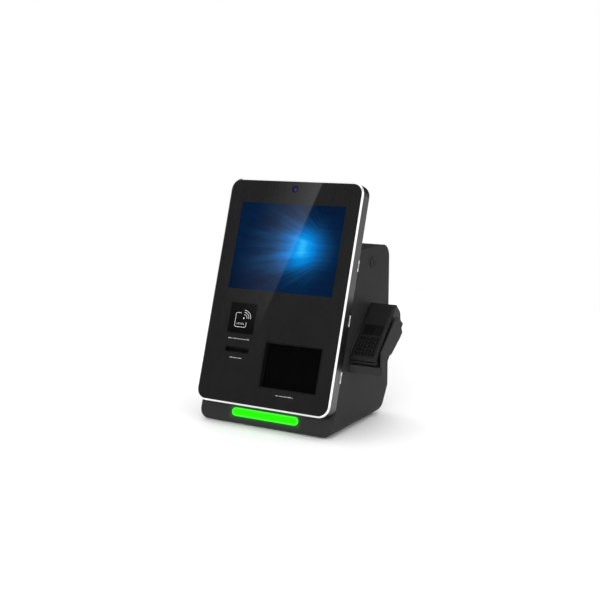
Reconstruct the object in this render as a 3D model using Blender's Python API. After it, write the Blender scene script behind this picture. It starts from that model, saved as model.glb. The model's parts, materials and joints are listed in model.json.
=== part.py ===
"""Countertop self-checkout kiosk: a tilted touch-screen door on a sheet-metal housing, with a card
terminal in a cradle on its right side.

Kiosk frame: X to the right of a customer facing the screen, Y to the back, Z up, floor at Z = 0.
Three child frames are used. The panel frame lies in the screen's front plane: X, depth behind the
glass and height up the slope. The terminal frame lies in the terminal's face in the same way.
"""

import math

import bmesh
import bpy
from mathutils import Matrix, Vector

# Touch-screen door: the glass, its bright chamfered frame and the tilt of the slope.
TILT = math.radians(18.5)
GLASS_WIDTH = 0.3075
GLASS_HEIGHT = 0.4657
GLASS_THICKNESS = 0.0032
GLASS_CORNER = 0.0205
GLASS_FOOT_Z = 0.0496
FRAME_MARGIN = 0.0036
FRAME_DEPTH = 0.0285
FRAME_WALL = 0.0030
LEDGE_WIDTH = 0.0080
GAP = 0.0003

# Housing: sheet steel, its base front stands just behind the frame's rear edge.
SHEET = 0.0020
SIDE_X = GLASS_WIDTH / 2 + FRAME_MARGIN
FOOT_HEIGHT = 0.0030
BODY_TOP_Z = 0.3618
REAR_Y = 0.2646
BASE_FRONT_DEPTH = 0.0265
BODY_FRONT_DEPTH = FRAME_DEPTH + GAP
BASE_FRONT_TOP = -0.0041
BOTTOM_CORNER = 0.020
TOP_REAR_CORNER = 0.0285
SLANT_TOP_Z = 0.058
SLANT_RUN = 0.0342
FRONT_LIP = 0.012

# Windows and slots in the glass, as centre and size in the panel frame.
DISPLAY_CENTRE = (0.0014, 0.3264)
DISPLAY_SIZE = (0.262, 0.200)
CAMERA_HEIGHT = 0.4500
CAMERA_RADIUS = 0.0066
NFC_CENTRE = (-0.0755, 0.1715)
NFC_SIZE = 0.066
CARD_CENTRE = (-0.0756, 0.1077)
CARD_SIZE = (0.0575, 0.0114)
READER_CENTRE = (-0.0756, 0.1097)
READER_SIZE = (0.068, 0.034)
SCAN_CENTRE = (0.0565, 0.0855)
SCAN_SIZE = (0.1340, 0.0940)
SCAN_RECESS = 0.012
LED_CENTRE_HEIGHT = -0.0172
LED_SIZE = (0.158, 0.0172)

# Door hinges, on the frame's right rear edge.
HINGE_X = 0.1570
HINGE_DEPTH = 0.0264
HINGE_RADIUS = 0.0021
HINGE_LENGTH = 0.0228
HINGE_HEIGHTS = (0.3054, 0.1941, 0.0808)
PIN_RADIUS = 0.0008
LEAF_X = 0.1530

# Rear cover, its hinge rod and its fan.
REAR_HINGE_Y = 0.2570
REAR_HINGE_Z = 0.0680
ROD_RADIUS = 0.0020
COVER_BOTTOM_Z = 0.0625
FAN_CENTRE_Z = 0.200
FAN_SIZE = 0.060

# Power inlet, in the middle of the lower rear slant.
INLET_SIZE = (0.072, 0.028)
SLANT_MIDDLE_Z = 0.0325
SOCKET_X = -0.0170
ROCKER_X = 0.0180

# Cam lock in the right side, and the quarter-turn latch of the door inside the left side.
LOCK_Y = 0.1885
LOCK_Z = 0.3304
LOCK_FLANGE_RADIUS = 0.0122
LOCK_BARREL_RADIUS = 0.0085
LATCH_DEPTH = 0.062
LATCH_HEIGHT = 0.292

# Payment terminal, its cradle and its keys. X values are offsets from the housing's right side.
LEAN = math.radians(43.0)
CRADLE_FLANGE = (0.0003, 0.0025)
CRADLE_WALL = (0.0650, 0.0680)
CRADLE_FRONT_Y = 0.0940
SHELF_FRONT_Y = 0.0885
SHELF_Z = (0.1215, 0.1378)
TERMINAL_X = (0.0030, 0.0604)
TERMINAL_FOOT_Y = 0.0845
TERMINAL_FOOT_Z = 0.1574
TERMINAL_LENGTH = 0.1308
TERMINAL_DEPTH = 0.034
TERMINAL_PARTING = 0.0060
TERMINAL_BASE_Z = 0.1382
TERMINAL_BASE_Y = (0.0950, 0.1070)
TERMINAL_CHIN_Z = 0.1434
CARD_SLOT_Z = (0.1472, 0.1488)
FACE_HALF_WIDTH = 0.0242
FACE_LENGTH = 0.1228
KEY_SIZE = (0.0122, 0.0064)
KEY_PITCH = (0.0143, 0.0090)
KEY_FIRST_ROW = 0.0076
KEY_PROUD = 0.0010
KEY_ROWS = (
    ("cancel", "clear", "enter"),
    ("star", "0", "hash"),
    ("7", "8", "9"),
    ("4", "5", "6"),
    ("1", "2", "3"),
)
SCREEN_SPAN = (0.0515, 0.0755)
SCREEN_WIDTH = 0.0420
LID_FOOT = 0.0812

# The origin is the middle of the whole object's footprint, on the floor.
RIGHTMOST = SIDE_X + CRADLE_WALL[1]
FRONTMOST = -0.0004 * math.sin(TILT)
MIDDLE_X = (RIGHTMOST - SIDE_X) / 2
MIDDLE_Y = (REAR_Y + FRONTMOST) / 2

ROUND = 24


# --- Points and outlines -------------------------------------------------------------------------


def arc(centre, radius, start, end, steps):
    """Points on a circle from start to end degrees, both included."""
    points = []
    for step in range(steps + 1):
        angle = math.radians(start + (end - start) * step / steps)
        points.append((centre[0] + radius * math.cos(angle), centre[1] + radius * math.sin(angle)))
    return points


def circle(centre, radius, steps=ROUND):
    return arc(centre, radius, 0, 360, steps)[:-1]


def rectangle(centre, width, height):
    x, y = centre
    w, h = width / 2, height / 2
    return [(x - w, y - h), (x + w, y - h), (x + w, y + h), (x - w, y + h)]


def rounded_rectangle(centre, width, height, radius, steps=6):
    x, y = centre
    w, h = width / 2 - radius, height / 2 - radius
    corners = ((x + w, y + h, 0), (x - w, y + h, 90), (x - w, y - h, 180), (x + w, y - h, 270))
    points = []
    for corner_x, corner_y, start in corners:
        points += arc((corner_x, corner_y), radius, start, start + 90, steps)
    return points


def panel_point(depth, height):
    """The kiosk frame's (y, z) of a depth behind the glass and a height up the slope."""
    y = height * math.sin(TILT) + depth * math.cos(TILT)
    z = GLASS_FOOT_Z + height * math.cos(TILT) - depth * math.sin(TILT)
    return (y, z)


def panel_height_at(depth, z):
    """The height up the slope at which a depth behind the glass reaches z."""
    return (z - GLASS_FOOT_Z + depth * math.sin(TILT)) / math.cos(TILT)


def lean_point(depth, height):
    """The kiosk frame's (y, z) of a depth behind the terminal's face and a height up it."""
    y = TERMINAL_FOOT_Y + height * math.sin(LEAN) + depth * math.cos(LEAN)
    z = TERMINAL_FOOT_Z + height * math.cos(LEAN) - depth * math.sin(LEAN)
    return (y, z)


# --- Objects -------------------------------------------------------------------------------------


def clear_scene():
    for obj in list(bpy.data.objects):
        bpy.data.objects.remove(obj, do_unlink=True)


def material(name, colour, roughness, metallic=0.0, emission=0.0):
    found = bpy.data.materials.get(name)
    if found:
        return found
    made = bpy.data.materials.new(name)
    made.use_nodes = True
    shader = made.node_tree.nodes["Principled BSDF"]
    shader.inputs["Base Color"].default_value = (*colour, 1.0)
    shader.inputs["Roughness"].default_value = roughness
    shader.inputs["Metallic"].default_value = metallic
    if emission:
        shader.inputs["Emission Color"].default_value = (*colour, 1.0)
        shader.inputs["Emission Strength"].default_value = emission
    return made


def frame(name, parent, location, tilt=0.0):
    """An empty that carries a local frame, leaned back by tilt about X."""
    empty = bpy.data.objects.new(name, None)
    bpy.context.scene.collection.objects.link(empty)
    empty.parent = parent
    empty.location = location
    empty.rotation_euler = (-tilt, 0.0, 0.0)
    return empty


def add_mesh(name, mesh_data, look, parent):
    bmesh.ops.remove_doubles(mesh_data, verts=mesh_data.verts, dist=1e-7)
    bmesh.ops.recalc_face_normals(mesh_data, faces=mesh_data.faces)
    mesh = bpy.data.meshes.new(name)
    mesh_data.to_mesh(mesh)
    mesh_data.free()
    mesh.shade_smooth()
    mesh.set_sharp_from_angle(angle=math.radians(32))
    obj = bpy.data.objects.new(name, mesh)
    bpy.context.scene.collection.objects.link(obj)
    obj.parent = parent
    if look:
        mesh.materials.append(look)
    return obj


def place(point, level, axis):
    """A 3-D point from an outline's point and its level along axis."""
    a, b = point
    if axis == "X":
        return (level, a, b)
    if axis == "Y":
        return (a, level, b)
    return (a, b, level)


def stack(name, rings, look, parent, axis="Y", hollow=False):
    """A solid lofted through rings of (outline, level). A hollow one joins its last ring to its first."""
    data = bmesh.new()
    loops = [[data.verts.new(place(point, level, axis)) for point in outline] for outline, level in rings]
    pairs = list(zip(loops, loops[1:]))
    if hollow:
        pairs.append((loops[-1], loops[0]))
    else:
        data.faces.new(loops[0])
        data.faces.new(loops[-1])
    count = len(loops[0])
    for lower, upper in pairs:
        for i in range(count):
            j = (i + 1) % count
            data.faces.new((lower[i], lower[j], upper[j], upper[i]))
    return add_mesh(name, data, look, parent)


def prism(name, outline, low, high, look, parent, axis="X"):
    return stack(name, [(outline, low), (outline, high)], look, parent, axis)


def box(name, low, high, look, parent):
    centre = ((low[0] + high[0]) / 2, (low[1] + high[1]) / 2)
    outline = rectangle(centre, high[0] - low[0], high[1] - low[1])
    return prism(name, outline, low[2], high[2], look, parent, "Z")


def combine(target, tool, operation):
    """Applies a Boolean of target with tool, and takes the tool away."""
    modifier = target.modifiers.new(operation.lower(), "BOOLEAN")
    modifier.operation = operation
    modifier.solver = "EXACT"
    modifier.object = tool
    bpy.context.view_layer.update()
    evaluated = target.evaluated_get(bpy.context.evaluated_depsgraph_get())
    result = bpy.data.meshes.new_from_object(evaluated)
    target.modifiers.remove(modifier)
    target.data = result
    result.shade_smooth()
    result.set_sharp_from_angle(angle=math.radians(32))
    bpy.data.objects.remove(tool, do_unlink=True)
    return target


def cut(target, tool):
    return combine(target, tool, "DIFFERENCE")


def join(target, tool):
    return combine(target, tool, "UNION")


def meet(target, tool):
    return combine(target, tool, "INTERSECT")


def round_edges(obj, width, segments, chosen):
    """Bevels the edges for which chosen(first end, second end) is true."""
    data = bmesh.new()
    data.from_mesh(obj.data)
    edges = [edge for edge in data.edges if chosen(edge.verts[0].co, edge.verts[1].co)]
    bmesh.ops.bevel(
        data,
        geom=edges,
        offset=width,
        segments=segments,
        profile=0.5,
        affect="EDGES",
        clamp_overlap=True,
    )
    data.to_mesh(obj.data)
    data.free()
    obj.data.shade_smooth()
    obj.data.set_sharp_from_angle(angle=math.radians(32))


def move_origin(objects, point):
    """Puts each object's origin at a point of its parent frame, on its joint's axis."""
    shift = Vector(point)
    for obj in objects:
        obj.data.transform(Matrix.Translation(-shift))
        obj.location = shift


# --- Looks ---------------------------------------------------------------------------------------


def looks():
    return {
        "black_steel": material("black_steel", (0.030, 0.030, 0.032), 0.45, 0.3),
        "bright_frame": material("bright_frame", (0.75, 0.76, 0.77), 0.22, 1.0),
        "black_glass": material("black_glass", (0.012, 0.012, 0.013), 0.06),
        "dark_glass": material("dark_glass", (0.010, 0.010, 0.018), 0.05),
        "steel": material("steel", (0.60, 0.61, 0.62), 0.30, 1.0),
        "black_plastic": material("black_plastic", (0.018, 0.018, 0.019), 0.40),
        "terminal_plastic": material("terminal_plastic", (0.030, 0.030, 0.031), 0.45),
        "key_plastic": material("key_plastic", (0.012, 0.012, 0.012), 0.50),
        "green_light": material("green_light", (0.010, 1.0, 0.0), 0.30, 0.0, 3.0),
        "rubber": material("rubber", (0.015, 0.015, 0.015), 0.85),
        "circuit_board": material("circuit_board", (0.010, 0.090, 0.035), 0.45),
        "aluminium": material("aluminium", (0.45, 0.46, 0.47), 0.38, 1.0),
        "paper": material("paper", (0.85, 0.85, 0.82), 0.80),
    }


# --- Door ----------------------------------------------------------------------------------------


def glass_outline(offset):
    """The glass's rounded outline, grown by offset."""
    centre = (0.0, GLASS_HEIGHT / 2)
    width = GLASS_WIDTH + 2 * offset
    height = GLASS_HEIGHT + 2 * offset
    return rounded_rectangle(centre, width, height, GLASS_CORNER + offset, 7)


def hinge_pocket(panel, low_x, low_depth, high_depth, height):
    """Room for one hinge in the door's right edge, from low_x outwards."""
    half_length = HINGE_LENGTH / 2 + 0.0004
    low = (low_x, low_depth, height - half_length)
    high = (SIDE_X + 0.002, high_depth, height + half_length)
    return box("hinge pocket", low, high, None, panel)


def make_bezel_frame(panel, look):
    land = 0.0004
    inner = FRAME_MARGIN - FRAME_WALL
    ledge_front = GLASS_THICKNESS + GAP
    ledge_back = ledge_front + 0.0021
    section = [
        (land, 0.0),
        (FRAME_MARGIN, FRAME_MARGIN - land),
        (FRAME_MARGIN, FRAME_DEPTH),
        (inner, FRAME_DEPTH),
        (inner, ledge_back),
        (-LEDGE_WIDTH, ledge_back),
        (-LEDGE_WIDTH, ledge_front),
        (0.0, ledge_front),
        (0.0, 0.0),
    ]
    rings = [(glass_outline(offset), depth) for offset, depth in section]
    bezel = stack("bezel_frame", rings, look, panel, "Y", hollow=True)
    wall_x = SIDE_X - FRAME_WALL - 0.0005
    front = HINGE_DEPTH - HINGE_RADIUS - 0.0004
    for height in HINGE_HEIGHTS:
        cut(bezel, hinge_pocket(panel, wall_x, front, FRAME_DEPTH + 0.001, height))
    return bezel


def make_front_glass(panel, look):
    glass = prism("front_glass", glass_outline(-GAP), 0.0, GLASS_THICKNESS, look, panel, "Y")
    through = (-0.002, GLASS_THICKNESS + 0.002)
    openings = [
        rectangle(SCAN_CENTRE, SCAN_SIZE[0], SCAN_SIZE[1]),
        rectangle(CARD_CENTRE, CARD_SIZE[0], CARD_SIZE[1]),
        circle((0.0, CAMERA_HEIGHT), CAMERA_RADIUS + GAP),
    ]
    for outline in openings:
        cut(glass, prism("opening", outline, through[0], through[1], None, panel, "Y"))
    return glass


def make_display_panel(panel, look):
    front = GLASS_THICKNESS + 0.0004
    outline = rectangle(DISPLAY_CENTRE, *DISPLAY_SIZE)
    module = prism("display_panel", outline, front, front + 0.0085, look, panel, "Y")
    board = rectangle(DISPLAY_CENTRE, 0.120, 0.070)
    join(module, prism("driver board", board, front + 0.0080, front + 0.0135, None, panel, "Y"))
    return module


def make_camera(panel, lens_look, board_look):
    centre = (0.0, CAMERA_HEIGHT)
    lens_rings = [
        (circle(centre, 0.0036), 0.0014),
        (circle(centre, 0.0052), 0.0002),
        (circle(centre, CAMERA_RADIUS), 0.0002),
        (circle(centre, CAMERA_RADIUS), 0.0030),
        (circle(centre, 0.0040), 0.0034),
        (circle(centre, 0.0040), 0.0110),
    ]
    lens = stack("camera_lens", lens_rings, lens_look, panel)
    board = prism("camera_board", rectangle(centre, 0.046, 0.012), 0.0113, 0.0129, board_look, panel, "Y")
    chip = rectangle((0.014, CAMERA_HEIGHT), 0.009, 0.009)
    join(board, prism("chip", chip, 0.0125, 0.0143, None, panel, "Y"))
    return [lens, board]


def make_nfc_board(panel, look):
    """The contactless reader's antenna board, close behind the glass, with its shield can behind it."""
    front = GLASS_THICKNESS + 0.0004
    outline = rectangle(NFC_CENTRE, NFC_SIZE, NFC_SIZE)
    board = prism("nfc_board", outline, front, front + 0.0016, look, panel, "Y")
    shield = rectangle(NFC_CENTRE, 0.030, 0.024)
    join(board, prism("shield", shield, front + 0.0012, front + 0.0050, None, panel, "Y"))
    return board


def make_card_reader(panel, bezel_look, reader_look):
    """A funnel in the glass leads a card through a slit into the reader behind it."""
    outer = rectangle(CARD_CENTRE, CARD_SIZE[0] - 2 * GAP, CARD_SIZE[1] - 2 * GAP)
    funnel = prism("card_bezel", outer, 0.0001, 0.0140, bezel_look, panel, "Y")
    mouth = rectangle(CARD_CENTRE, CARD_SIZE[0] - 0.0022, CARD_SIZE[1] - 0.0022)
    cut(funnel, prism("mouth", mouth, -0.002, 0.0100, None, panel, "Y"))
    slit = rectangle(CARD_CENTRE, 0.0546, 0.0018)
    cut(funnel, prism("slit", slit, 0.005, 0.020, None, panel, "Y"))
    body_outline = rounded_rectangle(READER_CENTRE, READER_SIZE[0], READER_SIZE[1], 0.002, 2)
    reader = prism("card_reader", body_outline, 0.0143, 0.0780, reader_look, panel, "Y")
    cut(reader, prism("card path", slit, 0.010, 0.0700, None, panel, "Y"))
    return [funnel, reader]


def make_scan_bay(panel, hood_look, glass_look, board_look):
    """A recessed window over an optical chamber: documents are held against the inner glass."""
    width, height = SCAN_SIZE
    floor = SCAN_RECESS + 0.0030
    back = 0.0700
    outer = rectangle(SCAN_CENTRE, width - 2 * GAP, height - 2 * GAP)
    hood = prism("scan_bay", outer, 0.0002, back, hood_look, panel, "Y")
    recess = rectangle(SCAN_CENTRE, width - 0.0046, height - 0.0046)
    cut(hood, prism("recess", recess, -0.002, floor, None, panel, "Y"))
    chamber = rectangle(SCAN_CENTRE, width - 0.0120, height - 0.0120)
    cut(hood, prism("chamber", chamber, SCAN_RECESS, back - 0.0025, None, panel, "Y"))
    pane = rectangle(SCAN_CENTRE, width - 0.0052, height - 0.0052)
    glass = prism("scan_glass", pane, SCAN_RECESS, floor - GAP, glass_look, panel, "Y")
    engine_front = back - 0.0028 - 0.0060
    base = rectangle(SCAN_CENTRE, 0.080, 0.030)
    engine = prism("scan_camera", base, engine_front, back - 0.0028, board_look, panel, "Y")
    barrel = circle(SCAN_CENTRE, 0.0090, 16)
    join(engine, prism("barrel", barrel, engine_front - 0.0100, engine_front + 0.0020, None, panel, "Y"))
    return [hood, glass, engine]


def make_door_back_pan(panel, look):
    """The steel plate that closes the door's rear, with vents where it stands above the housing."""
    front = FRAME_DEPTH - 0.0002 - SHEET
    inset = FRAME_MARGIN - FRAME_WALL - GAP
    pan = prism("door_back_pan", glass_outline(inset), front, front + SHEET, look, panel, "Y")
    through = (front - 0.002, front + SHEET + 0.002)
    reader_room = rectangle(READER_CENTRE, READER_SIZE[0] + 2 * GAP, READER_SIZE[1] + 2 * GAP)
    openings = [rectangle(SCAN_CENTRE, SCAN_SIZE[0], SCAN_SIZE[1]), reader_room]
    for row in range(4):
        openings.append(rectangle((0.0, 0.370 + 0.012 * row), 0.120, 0.0040))
    for outline in openings:
        cut(pan, prism("opening", outline, through[0], through[1], None, panel, "Y"))
    for height in HINGE_HEIGHTS:
        cut(pan, hinge_pocket(panel, LEAF_X - 0.0006, through[0], through[1], height))
    return pan


def make_door_keeper(panel, look):
    """The door's strike: a tab that reaches back into the housing and ends in a foot for the latch."""
    low, high = LATCH_HEIGHT - 0.036, LATCH_HEIGHT - 0.012
    back = LATCH_DEPTH + 0.011
    root = FRAME_DEPTH + 0.0001
    outer_x = -0.1320
    keeper = box("door_keeper", (outer_x, root, low), (outer_x + 0.0020, back, high), look, panel)
    foot_x = (outer_x - 0.0070, outer_x + 0.0010)
    join(keeper, box("foot", (foot_x[0], back - 0.0022, low), (foot_x[1], back, high), None, panel))
    join(keeper, box("base", (outer_x, root, low), (outer_x + 0.0140, root + 0.0020, high), None, panel))
    return keeper


def make_door_leaf(panel, number, height, look):
    """The door's leaf, with the two outer knuckles and the pin in one."""
    axis = (HINGE_X, HINGE_DEPTH)
    low, high = height - HINGE_LENGTH / 2, height + HINGE_LENGTH / 2
    middle = HINGE_LENGTH / 6 + 0.0002
    leaf = prism(f"hinge_leaf_door_{number}", circle(axis, PIN_RADIUS, 12), low, high, look, panel, "Z")
    for start, end in ((low, height - middle), (height + middle, high)):
        join(leaf, prism("knuckle", circle(axis, HINGE_RADIUS), start, end, None, panel, "Z"))
        join(leaf, box("arm", (LEAF_X, 0.0246, start), (HINGE_X, 0.0257, end), None, panel))
        join(leaf, box("arm root", (LEAF_X, 0.0230, start), (LEAF_X + 0.0011, 0.0250, end), None, panel))
    join(leaf, box("leaf", (LEAF_X, 0.0120, low), (LEAF_X + 0.0011, 0.0238, high), None, panel))
    return leaf


def make_body_leaf(panel, number, height, look):
    """The housing's leaf, with the middle knuckle, which turns on the door's pin."""
    axis = (HINGE_X, HINGE_DEPTH)
    low, high = height - HINGE_LENGTH / 6 + 0.0001, height + HINGE_LENGTH / 6 - 0.0001
    inner_x = LEAF_X + 0.0004
    leaf = prism(f"hinge_leaf_body_{number}", circle(axis, HINGE_RADIUS), low, high, look, panel, "Z")
    join(leaf, box("arm", (inner_x, 0.0272, low), (HINGE_X, 0.0284, high), None, panel))
    join(leaf, box("leaf", (inner_x, 0.0275, low), (inner_x + 0.0016, 0.0420, high), None, panel))
    bore = circle(axis, PIN_RADIUS + 0.0004, 12)
    cut(leaf, prism("bore", bore, low - 0.001, high + 0.001, None, panel, "Z"))
    return leaf


# --- Housing -------------------------------------------------------------------------------------


def side_profile():
    """The housing's outer side profile, as (y, z), from the base front round to the lower rear slant."""
    bottom_height = panel_height_at(BASE_FRONT_DEPTH, FOOT_HEIGHT)
    top_height = panel_height_at(BODY_FRONT_DEPTH, BODY_TOP_Z)
    corner = (REAR_Y - TOP_REAR_CORNER, BODY_TOP_Z - TOP_REAR_CORNER)
    points = [
        panel_point(BASE_FRONT_DEPTH, bottom_height),
        panel_point(BASE_FRONT_DEPTH, BASE_FRONT_TOP),
        panel_point(BODY_FRONT_DEPTH, BASE_FRONT_TOP),
        panel_point(BODY_FRONT_DEPTH, top_height),
    ]
    points += list(reversed(arc(corner, TOP_REAR_CORNER, 0, 90, 8)))
    points += [(REAR_Y, SLANT_TOP_Z), (REAR_Y - SLANT_RUN, FOOT_HEIGHT)]
    return points


def slant_y(z, inset):
    """The y of the lower rear slant at z, on a surface that lies inset inside the outer one."""
    rise = SLANT_TOP_Z - FOOT_HEIGHT
    slope = SLANT_RUN / rise
    return REAR_Y - slope * (SLANT_TOP_Z - z) - inset * math.hypot(1.0, slope)


def inner_profile():
    """The hollow's side profile: a sheet's thickness inside the outer one, open at the top and rear."""
    floor = FOOT_HEIGHT + SHEET
    base_depth = BASE_FRONT_DEPTH + SHEET
    front_depth = BODY_FRONT_DEPTH + SHEET
    step = BASE_FRONT_TOP - SHEET
    return [
        panel_point(base_depth, panel_height_at(base_depth, floor)),
        panel_point(base_depth, step),
        panel_point(front_depth, step),
        panel_point(front_depth, panel_height_at(front_depth, BODY_TOP_Z + 0.020)),
        (REAR_Y + 0.020, BODY_TOP_Z + 0.020),
        (REAR_Y + 0.020, COVER_BOTTOM_Z - 0.0004),
        (slant_y(COVER_BOTTOM_Z - 0.0004, SHEET), COVER_BOTTOM_Z - 0.0004),
        (slant_y(floor, SHEET), floor),
    ]


def bottom_rounding(parent, name, half_width, floor, radius):
    """A tall block, seen from the front, with its two lower corners rounded."""
    outline = arc((-half_width + radius, floor + radius), radius, 180, 270, 6)
    outline += arc((half_width - radius, floor + radius), radius, 270, 360, 6)
    outline += [(half_width, 0.500), (-half_width, 0.500)]
    return prism(name, outline, -0.050, 0.350, None, parent, "Y")


def make_body_shell(kiosk, panel, look):
    shell = prism("body_shell", side_profile(), -SIDE_X, SIDE_X, look, kiosk)
    meet(shell, bottom_rounding(kiosk, "outer rounding", SIDE_X, FOOT_HEIGHT, BOTTOM_CORNER))
    front_limit = panel_point(BASE_FRONT_DEPTH, BASE_FRONT_TOP)

    def on_base_front(first, second):
        for end in (first, second):
            height = panel_height_at(BASE_FRONT_DEPTH, end.z)
            if abs(end.y - panel_point(BASE_FRONT_DEPTH, height)[0]) > 1e-5 or end.z > front_limit[1] + 1e-5:
                return False
        return min(first.z, second.z) < front_limit[1] - 1e-4

    round_edges(shell, 0.0045, 3, on_base_front)
    hollow = prism("hollow", inner_profile(), -SIDE_X + SHEET, SIDE_X - SHEET, None, kiosk)
    inner_radius = BOTTOM_CORNER - SHEET
    meet(hollow, bottom_rounding(kiosk, "inner rounding", SIDE_X - SHEET, FOOT_HEIGHT + SHEET, inner_radius))
    cut(shell, hollow)
    lip = SIDE_X - FRONT_LIP
    door_way = box("door way", (-lip, 0.020, 0.006), (lip, 0.040, 0.420), None, panel)
    cut(shell, door_way)
    cut_shell_openings(shell, kiosk, panel)
    return shell


def cut_shell_openings(shell, kiosk, panel):
    led = stadium(LED_SIZE[0] + 2 * GAP, LED_SIZE[1] + 2 * GAP)
    cut(shell, prism("light opening", led, 0.020, 0.033, None, panel, "Y"))
    lock = circle((LOCK_Y, LOCK_Z), LOCK_BARREL_RADIUS + GAP)
    cut(shell, prism("lock opening", lock, SIDE_X - 0.010, SIDE_X + 0.005, None, kiosk))
    for height in HINGE_HEIGHTS:
        half = HINGE_LENGTH / 6 + 0.0004
        low, high = (LEAF_X - 0.0001, 0.0270, height - half), (LEAF_X + 0.0025, 0.0330, height + half)
        notch = box("notch", low, high, None, panel)
        cut(shell, notch)
    inlet = slant_box(kiosk, "inlet opening", INLET_SIZE[0] / 2 + GAP, INLET_SIZE[1] / 2 + GAP, -0.006, 0.006)
    cut(shell, inlet)
    for row in range(5):
        z = 0.110 + 0.009 * row
        outline = stadium_at((0.170, z), 0.050, 0.0044)
        cut(shell, prism("speaker slot", outline, -SIDE_X - 0.004, -SIDE_X + 0.006, None, kiosk))


def stadium_at(centre, length, height, steps=8):
    """A bar with round ends, as an outline."""
    radius = height / 2
    half = length / 2 - radius
    right = arc((centre[0] + half, centre[1]), radius, -90, 90, steps)
    left = arc((centre[0] - half, centre[1]), radius, 90, 270, steps)
    return right + left


def stadium(length, height):
    return stadium_at((0.0, LED_CENTRE_HEIGHT), length, height)


def make_light_bar(panel, lens_look, board_look):
    """The status light: a diffuser that stands just proud of the base front, over its board."""
    length, height = LED_SIZE
    front = BASE_FRONT_DEPTH - 0.0005
    back = BASE_FRONT_DEPTH + SHEET + GAP
    rings = [
        (stadium(length - 0.0014, height - 0.0014), front),
        (stadium(length, height), front + 0.0007),
        (stadium(length, height), back),
        (stadium(length + 0.0060, height + 0.0040), back),
        (stadium(length + 0.0060, height + 0.0040), back + 0.0015),
    ]
    diffuser = stack("led_diffuser", rings, lens_look, panel)
    board_front = back + 0.0050
    board = rectangle((0.0, LED_CENTRE_HEIGHT), 0.150, 0.012)
    strip = prism("led_strip", board, board_front, board_front + 0.0016, board_look, panel, "Y")
    for number in range(8):
        x = -0.0630 + 0.0180 * number
        lamp = rectangle((x, LED_CENTRE_HEIGHT), 0.0050, 0.0050)
        join(strip, prism("lamp", lamp, board_front - 0.0014, board_front + 0.0006, None, panel, "Y"))
    return [diffuser, strip]


def make_rear_cover(kiosk, panel, look):
    """Top and rear in one bent sheet between the side walls, with ears on the hinge rod inside."""
    half = SIDE_X - SHEET - 0.0004
    front = panel_point(BODY_FRONT_DEPTH + GAP, panel_height_at(BODY_FRONT_DEPTH + GAP, BODY_TOP_Z))
    front_low_z = BODY_TOP_Z - SHEET
    front_low = panel_point(BODY_FRONT_DEPTH + GAP, panel_height_at(BODY_FRONT_DEPTH + GAP, front_low_z))
    corner = (REAR_Y - TOP_REAR_CORNER, BODY_TOP_Z - TOP_REAR_CORNER)
    outline = [front] + list(reversed(arc(corner, TOP_REAR_CORNER, 0, 90, 8)))
    outline += [(REAR_Y, COVER_BOTTOM_Z), (REAR_Y - SHEET, COVER_BOTTOM_Z)]
    outline += arc(corner, TOP_REAR_CORNER - SHEET, 0, 90, 8) + [front_low]
    cover = prism("rear_cover", outline, -half, half, look, kiosk)
    for x in (-0.120, 0.117):
        ear = [(REAR_Y - 0.0010, 0.064), (REAR_Y - 0.0010, 0.078), (0.2520, 0.078), (0.2520, 0.064)]
        join(cover, prism("ear", ear, x, x + 0.003, None, kiosk))
    bore = circle((REAR_HINGE_Y, REAR_HINGE_Z), ROD_RADIUS + GAP, 16)
    cut(cover, prism("bores", bore, -0.130, 0.130, None, kiosk))
    cut_cover_vents(cover, kiosk)
    lip = SIDE_X - FRONT_LIP - 0.0004
    for low, high in ((-SIDE_X, -lip), (lip, SIDE_X)):
        notch_back = BODY_FRONT_DEPTH + SHEET + GAP
        cut(cover, box("lip notch", (low, 0.020, 0.300), (high, notch_back, 0.380), None, panel))
    tab = box("lock tab", (0.1300, 0.1770, 0.3425), (0.1390, 0.1792, BODY_TOP_Z - 0.0010), None, kiosk)
    join(cover, tab)
    return cover


def cut_cover_vents(cover, kiosk):
    for row in range(7):
        z = FAN_CENTRE_Z - 0.024 + 0.008 * row
        slot = stadium_at((0.0, z), 0.052, 0.0042, 4)
        cut(cover, prism("fan slot", slot, REAR_Y - 0.006, REAR_Y + 0.004, None, kiosk, "Y"))
    for row in range(5):
        y = 0.175 + 0.011 * row
        slot = stadium_at((0.0, y), 0.150, 0.0042, 4)
        cut(cover, prism("top slot", slot, BODY_TOP_Z - 0.006, BODY_TOP_Z + 0.004, None, kiosk, "Z"))


def make_rear_hinge_rod(kiosk, look):
    centre = (REAR_HINGE_Y, REAR_HINGE_Z)
    half = SIDE_X - SHEET - GAP
    return prism("rear_hinge_rod", circle(centre, ROD_RADIUS, 12), -half, half, look, kiosk)


def make_fan(kiosk, frame_look, rotor_look):
    back = REAR_Y - SHEET - GAP
    centre = (0.0, FAN_CENTRE_Z)
    square = rounded_rectangle(centre, FAN_SIZE, FAN_SIZE, 0.004, 2)
    case = prism("fan_frame", square, back - 0.015, back, frame_look, kiosk, "Y")
    cut(case, prism("duct", circle(centre, 0.0275), back - 0.020, back + 0.005, None, kiosk, "Y"))
    hub = prism("hub seat", circle(centre, 0.0120, 12), back - 0.0025, back - 0.0005, None, kiosk, "Y")
    for angle in range(0, 180, 90):
        bar = rectangle((0.0, 0.0), 0.0570, 0.0030)
        turned = [rotated(point, angle + 45, centre) for point in bar]
        join(hub, prism("strut", turned, back - 0.0022, back - 0.0008, None, kiosk, "Y"))
    join(case, hub)
    hub_outline = circle(centre, 0.0125, 16)
    rotor = prism("fan_rotor", hub_outline, back - 0.0140, back - 0.0030, rotor_look, kiosk, "Y")
    for number in range(7):
        join(rotor, fan_blade(kiosk, centre, 360 / 7 * number, back))
    move_origin([rotor], (0.0, back - 0.008, FAN_CENTRE_Z))
    return case, rotor


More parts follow.
